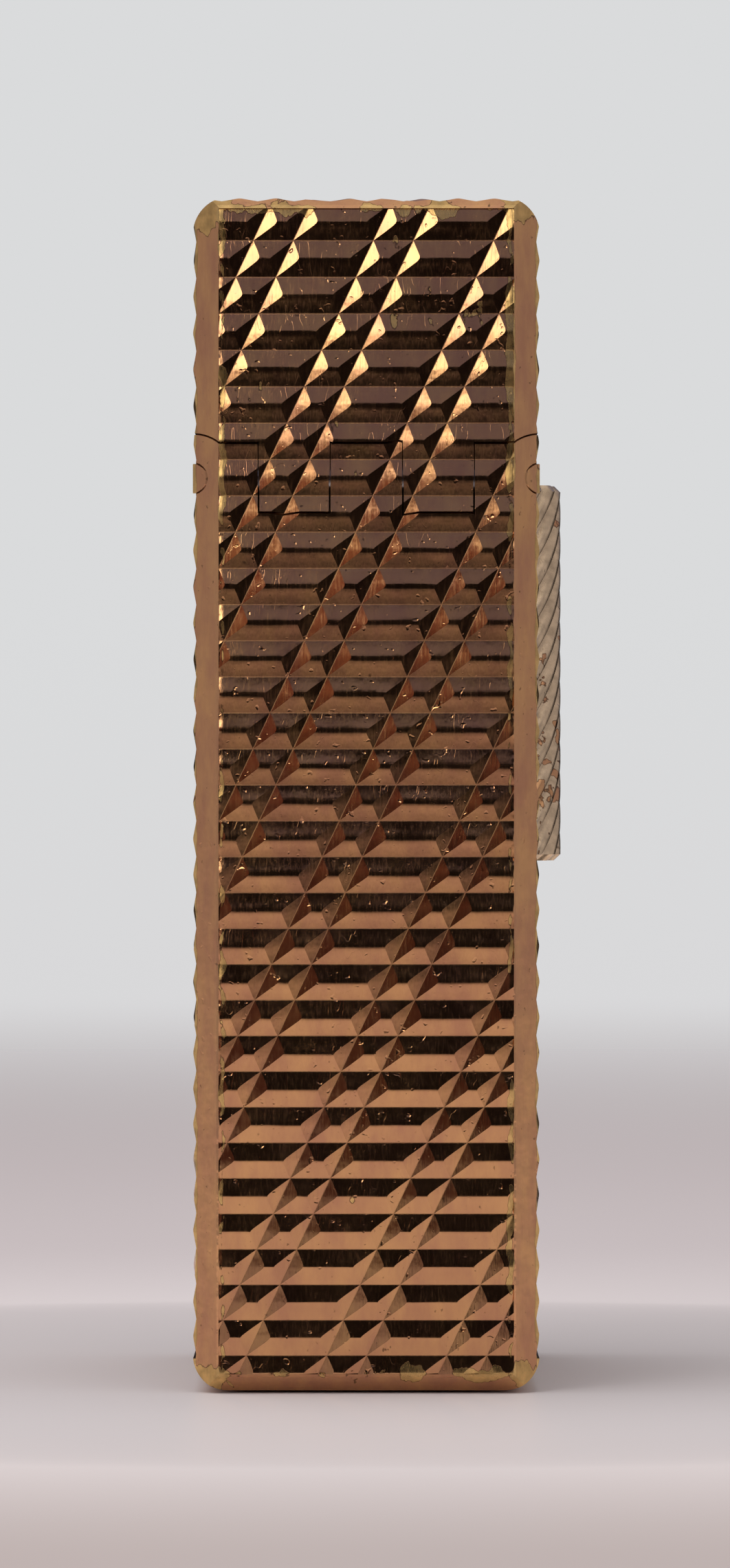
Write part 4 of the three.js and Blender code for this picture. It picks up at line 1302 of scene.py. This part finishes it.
class LIGHTER_OT_base(bpy.types.Operator):
    """Makes the base plate, the filling valve, the flame adjuster and the gas tank"""

    bl_idname = "lighter.base"
    bl_label = "Base and Tank"

    def execute(self, context):
        burner = middle_of("burner_jet")
        filler_at, burner_at = middle_of("filler_valve")[:2], burner[:2]
        base_screws = ("base_screw_1", "base_screw_2")
        deck_screws = ("deck_screw_1", "deck_screw_2")

        low, high = box_of("base_plate")
        flange_low, boss_high = 0.95, 1.2
        plate = pressed(cut_corners(low[:2], high[:2], 0.7), flange_low, high.z)
        boss = block((-4.85, -10.55, low.z), (4.85, 10.55, boss_high), ease=0.12)
        dish = turned([(0, -1), (2.9, -1), (2.9, 0), (2.5, 0.4), (2.5, 2), (0, 2)], filler_at, ease=0.04)
        dial = turned([(0, -1), (1.5, -1), (1.5, 0), (1.3, 0.2), (1.3, 2), (0, 2)], burner_at, ease=0.03)
        sink = [(0, -1), (1.1, -1), (1.1, 0), (0.95, 0.15), (0.95, 0.9), (0.55, 0.9), (0.55, 2), (0, 2)]
        holes = [turned(sink, middle_of(node)[:2], ease=0.02) for node in base_screws]
        # An arrow-free scale: short engraved lines fan out round the flame adjuster
        marks = []
        for k in range(7):
            mark = block((1.75, -0.05, -0.5), (1.95 + 0.08 * k, 0.05, 0.08), ease=0)
            turn = Matrix.Rotation(math.radians(30 * k - 90), 4, "Z")
            mark.transform(Matrix.Translation((*burner_at, 0)) @ turn)
            marks.append(mark)
        fitted("dressed_base", plate, "base_plate", add=[boss], cut=[dish, dial, *holes, *marks])

        low, high = box_of("filler_valve")
        bore, guide, throat = 0.64, 0.92, 0.4
        shape = [
            (bore, low.z), (2.0, low.z), (2.4, low.z + 0.3), (2.4, 1.65), (1.85, 1.65), (1.85, 3.4),
            (1.7, 3.5), (1.7, 4.1), (1.85, 4.2), (1.85, high.z - 0.3), (1.5, high.z), (throat, high.z),
            (throat, 7.2), (guide, 7.2), (guide, 2.3), (bore, 2.3),
        ]
        fitted("filling_valve", turned(shape, filler_at, ease=0.05), "filler_valve")
        low, high = box_of("filler_stem")
        shape = stepped(low.z, (0.57, 2.36), (0.84, 2.8), (0.36, high.z))
        port = rod(0.2, low.z - 1, low.z + 1.0, filler_at, facets=24, ease=0)
        fitted("valve_stem", turned(shape, filler_at, ease=0.06), "filler_stem", cut=[port])
        low, high = box_of("filler_seal")
        outer, inner, reach = 1.78, 1.2, 0.5 * (high.z - low.z)
        lip = [
            (outer - reach + reach * math.cos(a), low.z + reach + reach * math.sin(a))
            for a in (math.radians(20 * i - 80) for i in range(9))
        ]
        back = [(inner + outer - r, 2 * low.z + 2 * reach - z) for r, z in lip]
        fitted("seal_ring", turned([*lip, *back], filler_at, ease=0), "filler_seal")

        low, high = box_of("flame_adjuster")
        shape = [(0, low.z), (1.02, low.z), (1.2, low.z + 0.18), (1.2, 1.3)]
        shape += [(1.0, 1.3), (1.0, high.z), (0, high.z)]
        notches = []
        for k in range(20):
            notch = rod(0.09, low.z - 1, 1.2, (1.23, 0), facets=12, ease=0)
            turn = Matrix.Rotation(2 * math.pi * k / 20, 4, "Z")
            notch.transform(Matrix.Translation((*burner_at, 0)) @ turn)
            notches.append(notch)
        slot = block((burner.x - 2, burner.y - 0.2, -1), (burner.x + 2, burner.y + 0.2, 0.75), ease=0)
        fitted("adjuster_screw", turned(shape, burner_at, ease=0.05), "flame_adjuster", cut=[*notches, slot])
        low, high = box_of("adjuster_rod")
        fitted("needle_rod", turned_rod_with_point(low.z, high.z, burner_at), "adjuster_rod")

        low, high = box_of("gas_tank")

        def tank_shape(grow, ease):
            corners = (low.x + grow, low.y + grow), (high.x - grow, high.y - grow)
            outline = eased(cut_corners(*corners, 0.8), 0.3)
            notch = block((-1.05 - grow, 1.9 - grow, 19.0 - grow), (10, 20, 60), ease=0)
            return solid_of(pressed(outline, low.z + grow, high.z - grow, ease=ease), cut=[notch])

        wall = 0.75
        bosses = [rod(2.0, 2, 4.0, burner_at)]
        bosses += [rod(1.35, 2, 4.2, middle_of(node)[:2]) for node in base_screws]
        bosses += [rod(1.35, 32.6, 35, middle_of(node)[:2]) for node in deck_screws]
        hollow = solid_of(tank_shape(0, 0.12), cut=[tank_shape(wall, 0)])
        holes = [
            rod(1.9, 1, 3.5, filler_at, ease=0), rod(1.06, 1, 5, burner_at, ease=0),
            rod(1.46, 33, 40, burner_at, ease=0),
        ]
        holes += holes_at(base_screws, 0.55, 1, 3.2)
        holes += holes_at(deck_screws, 0.66, 33.4, 40)
        fitted("soldered_tank", hollow, "gas_tank", add=bosses, cut=holes, degrees=25)
        return {"FINISHED"}


def turned_rod_with_point(low, high, at):
    """The flame adjuster's rod, with a flat for its key and a needle point at its top."""
    radius = 0.45
    profile = [(0, low), (radius, low), (radius, high - 1.1), (0.12, high), (0, high)]
    flat = block((at[0] + 0.28, at[1] - 1, low - 1), (at[0] + 1, at[1] + 1, low + 2.5), ease=0)
    return solid_of(turned(profile, at, ease=0.04), cut=[flat])


# ---------------------------------------------------------------- deck, burner and lever


class LIGHTER_OT_deck(bpy.types.Operator):
    """Makes the deck, its collar and the perforated screen"""

    bl_idname = "lighter.deck"
    bl_label = "Deck and Screen"

    def execute(self, context):
        burner = middle_of("burner_jet")
        burner_at, spindle_at = burner[:2], middle_of("spindle")[:2]
        low, high = box_of("deck")
        plate = pressed(eased(cut_corners(low[:2], high[:2], 0.7), 0.2), low.z, high.z, ease=0.08)
        holes = [rod(1.46, 30, 40, burner_at, ease=0), rod(0.86, 30, 40, spindle_at, ease=0)]
        holes += holes_at(["deck_screw_1", "deck_screw_2"], 0.66, 30, 40)
        holes += holes_at(["bridge_screw"], 0.46, 30, 40)
        fitted("brass_deck", plate, "deck", cut=holes)

        low, high = box_of("rim_collar")
        wall = 0.35
        outside = pressed(eased(cut_corners(low[:2], high[:2], 0.7), 0.15), low.z, high.z, ease=0.1)
        inner_low, inner_high = (low.x + wall, low.y + wall), (high.x - wall, high.y - wall)
        inside = pressed(eased(cut_corners(inner_low, inner_high, 0.6), 0.12), low.z - 1, high.z + 1, ease=0)
        fitted("sprung_collar", outside, "rim_collar", cut=[inside])

        low, high = box_of("wind_guard")
        sheet = 0.3
        outline = eased(cut_corners((low.x, low.y), (high.x + 3, high.y), 0.6), 0.3)
        inner = eased(cut_corners((low.x + sheet, low.y + sheet), (high.x + 4, high.y - sheet), 0.5), 0.3)
        hood = pressed(outline, low.z, high.z, ease=0.08)
        mouth = block((high.x, low.y - 1, 0), (high.x + 5, high.y + 1, HEIGHT), ease=0)
        gate_top = 39.2
        gate = eased(rectangle((30, burner.x - 1.3), (gate_top, burner.x + 1.3)), 0.4, steps=5)
        gate = pressed(gate, low.y - 1, low.y + 1, "Y", ease=0)
        hollow = pressed(inner, 0, HEIGHT, ease=0)
        shell = solid_of(hood, cut=[hollow, mouth, gate])
        holder = link("screen_maker", shell)
        tree = perforation_tree()
        row_pitch = 1.3
        shared = {"Radius": 0.34, "Rows": 3, "Row Pitch": row_pitch, "Material": finish_for("nickel")}
        first = 38.6 + row_pitch
        walls = (
            ((low.x, 3.1 + row_pitch, first), -QUARTER, 3, 1.3),
            ((-3.1, high.y, first), 0, 2, 1.4),
        )
        for place, turn, columns, pitch in walls:
            own = {"Place": place, "Turn": (QUARTER, 0, turn), "Columns": columns, "Pitch": pitch}
            add_modifier(holder, tree, {**shared, **own})
        screen = baked(holder, "perforated_screen")
        crisp(screen.data, 30)
        take_place(screen, "wind_guard")
        return {"FINISHED"}


def perforation_tree():
    """Drills rows and columns of round holes through a wall of closed sheet metal."""
    tree, given = new_geometry_tree(
        "Perforations",
        {
            "Geometry": None, "Place": (0, 0, 0), "Turn": (0, 0, 0), "Radius": 0.34, "Rows": 3,
            "Columns": 3, "Row Pitch": 1.3, "Pitch": 1.3, "Material": None,
        },
    )
    m = partial(arithmetic, tree)

    def reach(count, pitch):
        return m("*", m("-", count, 1.0), pitch)

    spots = add_node(
        tree, "GeometryNodeMeshGrid", reach(given["Columns"], given["Pitch"]),
        reach(given["Rows"], given["Row Pitch"]), given["Columns"], given["Rows"],
    )
    drill = add_node(tree, "GeometryNodeMeshCylinder", 32, None, None, None, 2.0)
    tree.links.new(given["Radius"], drill.inputs["Radius"])
    drills = add_node(tree, "GeometryNodeInstanceOnPoints", spots.outputs["Mesh"])
    tree.links.new(drill.outputs["Mesh"], drills.inputs["Instance"])
    solid = add_node(tree, "GeometryNodeRealizeInstances", drills.outputs[0]).outputs[0]
    placed = moved(tree, solid, given["Place"], given["Turn"])
    end_tree(tree, boolean_of(tree, "DIFFERENCE", given["Geometry"], placed), given["Material"])
    return tree


class LIGHTER_OT_burner(bpy.types.Operator):
    """Makes the burner valve, its jet, and the lever that lifts the jet"""

    bl_idname = "lighter.burner"
    bl_label = "Burner and Lever"

    def execute(self, context):
        burner = middle_of("burner_jet")
        at = burner[:2]
        low, high = box_of("burner_valve")
        deck_top = box_of("deck")[1].z + 0.05
        bore = 0.75
        body = rod(1.4, low.z, deck_top + 0.1, at, ease=0.15)
        nut = rod(1.65, deck_top, high.z, at, facets=6, ease=0.02)
        nut_low = deck_top - 1
        nut_dome = [(0, nut_low), (1.65, nut_low), (1.65, high.z - 0.18), (1.4, high.z), (0, high.z)]
        chamfered_nut = solid_of(nut, common=[turned(nut_dome, at, ease=0.02)])
        holes = [rod(bore, 31.5, 40, at, ease=0), rod(0.3, 29, 32, at, facets=24, ease=0)]
        grooves = [tube(2.0, 1.28, z, z + 0.12, at, ease=0) for z in (31.0, 31.4, 31.8)]
        fitted("hex_valve", body, "burner_valve", add=[chamfered_nut], cut=[*holes, *grooves], degrees=30)

        low, high = box_of("burner_jet")
        lever_top = box_of("jet_lever")[1].z
        tip_low = high.z - 0.8
        shape = [
            (0, low.z), (0.7, low.z), (0.7, lever_top + 0.12), (1.2, lever_top + 0.12),
            (1.2, lever_top + 0.6), (0.7, lever_top + 0.6), (0.7, tip_low - 0.5), (0.58, tip_low - 0.4),
            (0.7, tip_low - 0.3), (0.7, tip_low), (0.45, high.z), (0, high.z),
        ]
        hole = rod(0.18, high.z - 1.5, high.z + 1, at, facets=32, ease=0)
        fitted("jet_nozzle", turned(shape, at, ease=0.04), "burner_jet", cut=[hole])

        low, high = box_of("jet_lever")
        pin = middle_of("lever_pin")
        pin_at = (pin.y, pin.z)
        sheet_low = high.z - 0.45
        arm = [
            (at[0] - 1.1, low.y), (at[0] + 1.1, low.y), (at[0] + 1.1, 2.2), (at[0] + 1.35, 2.6),
            (at[0] + 1.35, high.y), (at[0] - 1.35, high.y), (at[0] - 1.35, 2.6), (at[0] - 1.1, 2.2),
        ]
        sheet = pressed(eased(arm, 0.35, steps=5), sheet_low, high.z, ease=0.07)
        knuckle = rod(0.72, at[0] - 1.1, at[0] + 1.1, pin_at, "X", ease=0.05)
        half_slot = 0.85
        bottom = arc((at[0], 3.4 + half_slot), half_slot, 180, 360, 20)
        fork = [(at[0] - half_slot, 9.0), *bottom, (at[0] + half_slot, 9.0)]
        slot = pressed(fork, 30, HEIGHT, ease=0)
        pin_hole = rod(0.4, at[0] - 3, at[0] + 3, pin_at, "X", ease=0)
        fitted("forked_lever", sheet, "jet_lever", add=[knuckle], cut=[slot, pin_hole])

        low, high = box_of("lever_bracket")
        half = 1.65
        foot = block((at[0] - half, low.y, low.z), (at[0] + half, high.y, low.z + 0.3), ease=0.05)
        ear = [(low.y, low.z), (high.y, low.z), *arc(pin_at, 0.8, 0, 180, 20)]
        ears = [
            pressed(ear, at[0] - half, at[0] - half + 0.42, "X", ease=0.06),
            pressed(ear, at[0] + half - 0.42, at[0] + half, "X", ease=0.06),
        ]
        pin_hole = rod(0.37, at[0] - 3, at[0] + 3, pin_at, "X", ease=0)
        fitted("lever_bracket_fine", foot, "lever_bracket", add=ears, cut=[pin_hole])
        low, high = box_of("lever_pin")
        fitted("lever_pivot", rod(0.33, low.x, high.x, pin_at, "X", ease=0.14), "lever_pin")
        return {"FINISHED"}


class LIGHTER_OT_flint(bpy.types.Operator):
    """Makes the flint tube, the flint and its pusher"""

    bl_idname = "lighter.flint"
    bl_label = "Flint Feed"

    def execute(self, context):
        low, high = box_of("flint_tube")
        middle = middle_of("flint")
        at = (middle.z, middle.x)
        bore = 0.95
        shape = [
            (0, low.y), (1.3, low.y), (1.3, low.y + 1.1), (1.18, low.y + 1.2), (1.18, high.y - 0.9),
            (1.3, high.y - 0.8), (1.3, high.y), (0, high.y),
        ]
        feet = [
            block((middle.x - 0.9, a, low.z), (middle.x + 0.9, b, middle.z - 0.5), ease=0.08)
            for a, b in ((-6, -4.2), (0.8, 2.6))
        ]
        drill = rod(bore, low.y - 1, high.y + 1, at, "Y", ease=0)
        fitted("flint_barrel", turned(shape, at, "Y"), "flint_tube", add=feet, cut=[drill])

        low, high = box_of("flint")
        fitted("flint_rod", rod(0.85, low.y, high.y, at, "Y", ease=0.1), "flint")
        low, high = box_of("flint_pusher")
        collar = high.y - 0.75
        shape = stepped(low.y, (0.34, collar), (0.85, high.y))
        fitted("flint_plunger", turned(shape, at, "Y", ease=0.08), "flint_pusher")
        return {"FINISHED"}


class LIGHTER_OT_lid_inside(bpy.types.Operator):
    """Makes the lid's liner and the pad that shuts off the jet"""

    bl_idname = "lighter.lid_inside"
    bl_label = "Inside the Lid"

    def execute(self, context):
        burner = middle_of("burner_jet")
        at = burner[:2]
        low, high = box_of("lid_liner")
        sheet_low = high.z - 0.65
        liner = pressed(eased(cut_corners(low[:2], high[:2], 0.7), 0.25), sheet_low, high.z, ease=0.08)
        boss_top = sheet_low + 0.2
        boss = turned([(0, low.z), (1.6, low.z), (1.8, low.z + 0.2), (1.8, boss_top), (0, boss_top)], at)
        # Pressed stiffening dimples
        start = sheet_low - 1
        dimple = [(0, start), (0.9, start), (0.7, boss_top), (0, sheet_low + 0.25)]
        dimples = [turned(dimple, spot) for spot in ((2.6, -5.5), (-2.6, -5.5), (2.6, 3.5))]
        fitted("pressed_liner", liner, "lid_liner", add=[boss], cut=dimples)
        low, high = box_of("snuffer_pad")
        fitted("rubber_pad", rod(1.2, low.z, high.z, at, ease=0.25), "snuffer_pad")
        return {"FINISHED"}


# ---------------------------------------------------------------- stage


def stage_material(name):
    """A material, its tree, its output's surface socket and its place's three parts in millimetres."""
    material, tree, surface, in_mm = new_material(name)
    return material, tree, surface, add_node(tree, "ShaderNodeSeparateXYZ", in_mm).outputs


SCREEN_RADIUS = 112  # millimetres from the lighter's middle to the ring of cards round it


def stage_mesh(name, points, faces, material):
    mesh = bpy.data.meshes.new(name)
    mesh.from_pydata([Vector(p) * MM for p in points], [], faces)
    mesh.materials.append(material)
    item = link(name, mesh)
    return item


def only_in_reflections(item):
    for ray in ("camera", "diffuse", "shadow", "transmission", "volume_scatter"):
        setattr(item, "visible_" + ray, False)


def ring_round(count, height):
    """Points of a ring round the lighter, in millimetres, from in front of its hinge side."""
    turns = [2 * math.pi * k / count for k in range(count)]
    return [(SCREEN_RADIUS * math.sin(a), -SCREEN_RADIUS * math.cos(a), height) for a in turns]


def table_top():
    """Pale satin table top with painted shade behind the lighter and far in front of it, so that it is
    lightest round the lighter. It fades into the room with no edge.
    """
    colours = bpy.context.scene.finishes
    material, tree, surface, place = stage_material("satin_table")
    x, y = place[0], place[1]
    m = partial(arithmetic, tree)

    # Painted shade in the table's colour: darker behind the lighter, where its shadow falls, and darker again
    # far in front of it, where the lamps' light falls off
    behind = spread(tree, y, -10.0, 100.0, 0.0, 1.0, "SMOOTHSTEP")
    painted_shade_ahead = spread(tree, y, -20.0, -85.0, 0.0, 1.0, "SMOOTHSTEP")
    colour = mixed(tree, behind, rgba(colours.floor), rgba(shaded(colours.floor, 0.76, 0.74, 0.75)))
    colour = mixed(tree, painted_shade_ahead, colour, rgba(shaded(colours.floor, 0.64, 0.6, 0.58)))
    shader = add_node(tree, "ShaderNodeBsdfPrincipled")
    shader.inputs["Roughness"].default_value = 0.42
    tree.links.new(colour, shader.inputs["Base Color"])
    from_middle = m("SQRT", m("+", m("POWER", y, 2.0), m("POWER", x, 2.0)))
    polish = spread(tree, from_middle, 14.0, 48.0, 0.5, 0.0, "SMOOTHSTEP")
    tree.links.new(polish, shader.inputs["Specular IOR Level"])
    fade = spread(tree, from_middle, 150.0, 620.0, 0.0, 1.0, "SMOOTHSTEP")
    clear = add_node(tree, "ShaderNodeBsdfTransparent")
    blend = add_node(tree, "ShaderNodeMixShader", fade, shader.outputs[0], clear.outputs[0])
    tree.links.new(blend.outputs[0], surface)
    reach = 900
    corners = [(-reach, -reach, -0.1), (reach, -reach, -0.1), (reach, reach, -0.1), (-reach, reach, -0.1)]
    stage_mesh("table", corners, [(0, 1, 2, 3)], material)


def reflection_cards():
    """A ring of studio cards round the lighter, seen only in its polish: dark at eye level, grey above,
    pale at the two broad sides, with a bright window to the left of the hinge side."""
    material, tree, surface, (x, y, z) = stage_material("studio_cards")
    m = partial(arithmetic, tree)

    # Degrees round from the hinge side, negative to its left
    round_from_front = m("DEGREES", m("ARCTAN2", x, m("*", y, -1.0)))
    beside = m("/", m("ABSOLUTE", x), SCREEN_RADIUS)
    dark = rgba((0.009, 0.008, 0.009))
    grey = rgba((0.19, 0.2, 0.29))
    colour = mixed(tree, spread(tree, z, 60.0, 67.0, 0.0, 1.0, "SMOOTHSTEP"), dark, grey)
    ceiling = spread(tree, z, 120.0, 260.0, 0.0, 1.0, "SMOOTHSTEP")
    colour = mixed(tree, ceiling, colour, rgba((0.8, 0.8, 0.82)))
    low_glow = spread(tree, z, 0.0, 9.0, 1.0, 0.0)
    colour = mixed(tree, m("*", low_glow, 0.25), colour, rgba((0.45, 0.43, 0.43)))
    side = spread(tree, beside, 0.72, 0.97, 0.0, 1.0, "SMOOTHSTEP")
    colour = mixed(tree, side, colour, rgba((0.44, 0.43, 0.46)))
    left = band(tree, round_from_front, -40.0, -34.0, -15.0, -9.0)
    window = m("*", left, band(tree, z, 57.0, 59.5, 96.0, 110.0))
    colour = mixed(tree, window, colour, rgba((0.62, 0.6, 0.55)))
    glare = m("*", left, band(tree, z, 60.5, 63.0, 80.0, 96.0))
    colour = mixed(tree, glare, colour, rgba((3.6, 3.5, 3.1)))
    lower_left = band(tree, round_from_front, -60.0, -50.0, -18.0, -12.0)
    lower_left = m("*", lower_left, spread(tree, z, 57.0, 59.0, 1.0, 0.0))
    curtain = mixed(tree, spread(tree, z, 36.0, 56.0), rgba((0.07, 0.032, 0.026)), rgba((0.27, 0.12, 0.1)))
    colour = mixed(tree, lower_left, colour, curtain)
    foot = m("*", lower_left, spread(tree, z, 16.0, 21.0, 1.0, 0.0))
    colour = mixed(tree, foot, colour, rgba((0.4, 0.38, 0.38)))
    light = add_node(tree, "ShaderNodeEmission", colour)
    tree.links.new(light.outputs[0], surface)

    count = 96
    points = [*ring_round(count, 0.2), *ring_round(count, 420)]
    faces = [(k, (k + 1) % count, count + (k + 1) % count, count + k) for k in range(count)]
    only_in_reflections(stage_mesh("studio_cards", points, faces, material))


def reflection_floor_shade():
    """A dark card on the table, seen only in the polish, that deepens with distance from the lighter."""
    material, tree, surface, place = stage_material("table_shade")
    away = arithmetic(tree, "*", place[1], -1.0)
    depth = spread(tree, away, 42.0, 128.0, 0.0, 0.9, "SMOOTHSTEP")
    clear = add_node(tree, "ShaderNodeBsdfTransparent")
    black = add_node(tree, "ShaderNodeEmission", rgba((0.01, 0.01, 0.01)))
    blend = add_node(tree, "ShaderNodeMixShader", depth, clear.outputs[0], black.outputs[0])
    tree.links.new(blend.outputs[0], surface)
    ring = ring_round(64, 0.05)
    only_in_reflections(stage_mesh("table_shade", ring, [tuple(range(64))], material))


class LIGHTER_OT_stage(bpy.types.Operator):
    """Sets up the table, the studio cards, the lights and the camera"""

    bl_idname = "lighter.stage"
    bl_label = "Stage"

    def execute(self, context):
        scene = context.scene
        scene.view_settings.view_transform = "Standard"
        table_top()
        reflection_cards()
        reflection_floor_shade()

        camera = bpy.data.cameras.new("camera")
        camera.lens = 196.7
        camera.sensor_width = 36
        camera.clip_start = 0.01
        holder = link("camera", camera)
        holder.location = (-0.05 * MM, -342 * MM, 23.4 * MM)
        holder.rotation_euler = (QUARTER, 0, 0)
        scene.camera = holder

        world = bpy.data.worlds.new("room")
        tree = cleared_tree(world)
        way = add_node(tree, "ShaderNodeTexCoord").outputs["Generated"]
        up = add_node(tree, "ShaderNodeSeparateXYZ", way).outputs[2]
        level = spread(tree, up, -0.12, 0.04, 0.0, 1.0, "SMOOTHSTEP")
        backdrop = scene.finishes.backdrop
        colour = mixed(tree, level, rgba(shaded(backdrop, 0.96, 0.92, 0.93)), rgba(backdrop))
        overhead = spread(tree, up, 0.6, 0.95)
        colour = mixed(tree, overhead, colour, rgba((0.86, 0.86, 0.86)))
        sky = add_node(tree, "ShaderNodeBackground", colour, 1.0)
        add_node(tree, "ShaderNodeOutputWorld", sky.outputs[0])
        scene.world = world

        lamps = (
            ("overhead_softbox", (-60, -30, 320), 260, 0.5),
            ("front_softbox", (-160, -260, 240), 160, 0.16),
        )
        for name, place, size, power in lamps:
            lamp = bpy.data.lights.new(name, "AREA")
            lamp.energy = power
            lamp.shape = "SQUARE"
            lamp.size = size * MM
            light = link(name, lamp)
            light.visible_glossy = False
            light.location = Vector(place) * MM
            aim = Vector((0, 0, 20 * MM)) - light.location
            light.rotation_euler = aim.to_track_quat("-Z", "Y").to_euler()
        return {"FINISHED"}


class LIGHTER_PT_maker(bpy.types.Panel):
    """Lists the steps that make the lighter"""

    bl_label = "Pocket Lighter"
    bl_idname = "LIGHTER_PT_maker"
    bl_space_type = "VIEW_3D"
    bl_region_type = "UI"
    bl_category = "Lighter"

    def draw(self, context):
        for step in STEPS:
            self.layout.operator(step.bl_idname)


STEPS = (
    LIGHTER_OT_stage, LIGHTER_OT_case, LIGHTER_OT_hinge, LIGHTER_OT_roller, LIGHTER_OT_base,
    LIGHTER_OT_deck, LIGHTER_OT_burner, LIGHTER_OT_flint, LIGHTER_OT_springs, LIGHTER_OT_screws,
    LIGHTER_OT_lid_inside,
)
CLASSES = (TurningSettings, RollerSettings, FinishSettings, *STEPS, LIGHTER_PT_maker)


def register():
    for cls in CLASSES:
        bpy.utils.register_class(cls)
    bpy.types.Scene.turning = PointerProperty(type=TurningSettings)
    bpy.types.Scene.roller = PointerProperty(type=RollerSettings)
    bpy.types.Scene.finishes = PointerProperty(type=FinishSettings)


def unregister():
    del bpy.types.Scene.finishes
    del bpy.types.Scene.roller
    del bpy.types.Scene.turning
    for cls in reversed(CLASSES):
        bpy.utils.unregister_class(cls)


def main():
    register()
    bpy.ops.lighter.stage()
    bpy.ops.lighter.case()
    bpy.ops.lighter.hinge()
    bpy.ops.lighter.roller()
    bpy.ops.lighter.base()
    bpy.ops.lighter.deck()
    bpy.ops.lighter.burner()
    bpy.ops.lighter.flint()
    bpy.ops.lighter.springs()
    bpy.ops.lighter.screws()
    bpy.ops.lighter.lid_inside()


if __name__ == "__main__":
    main()
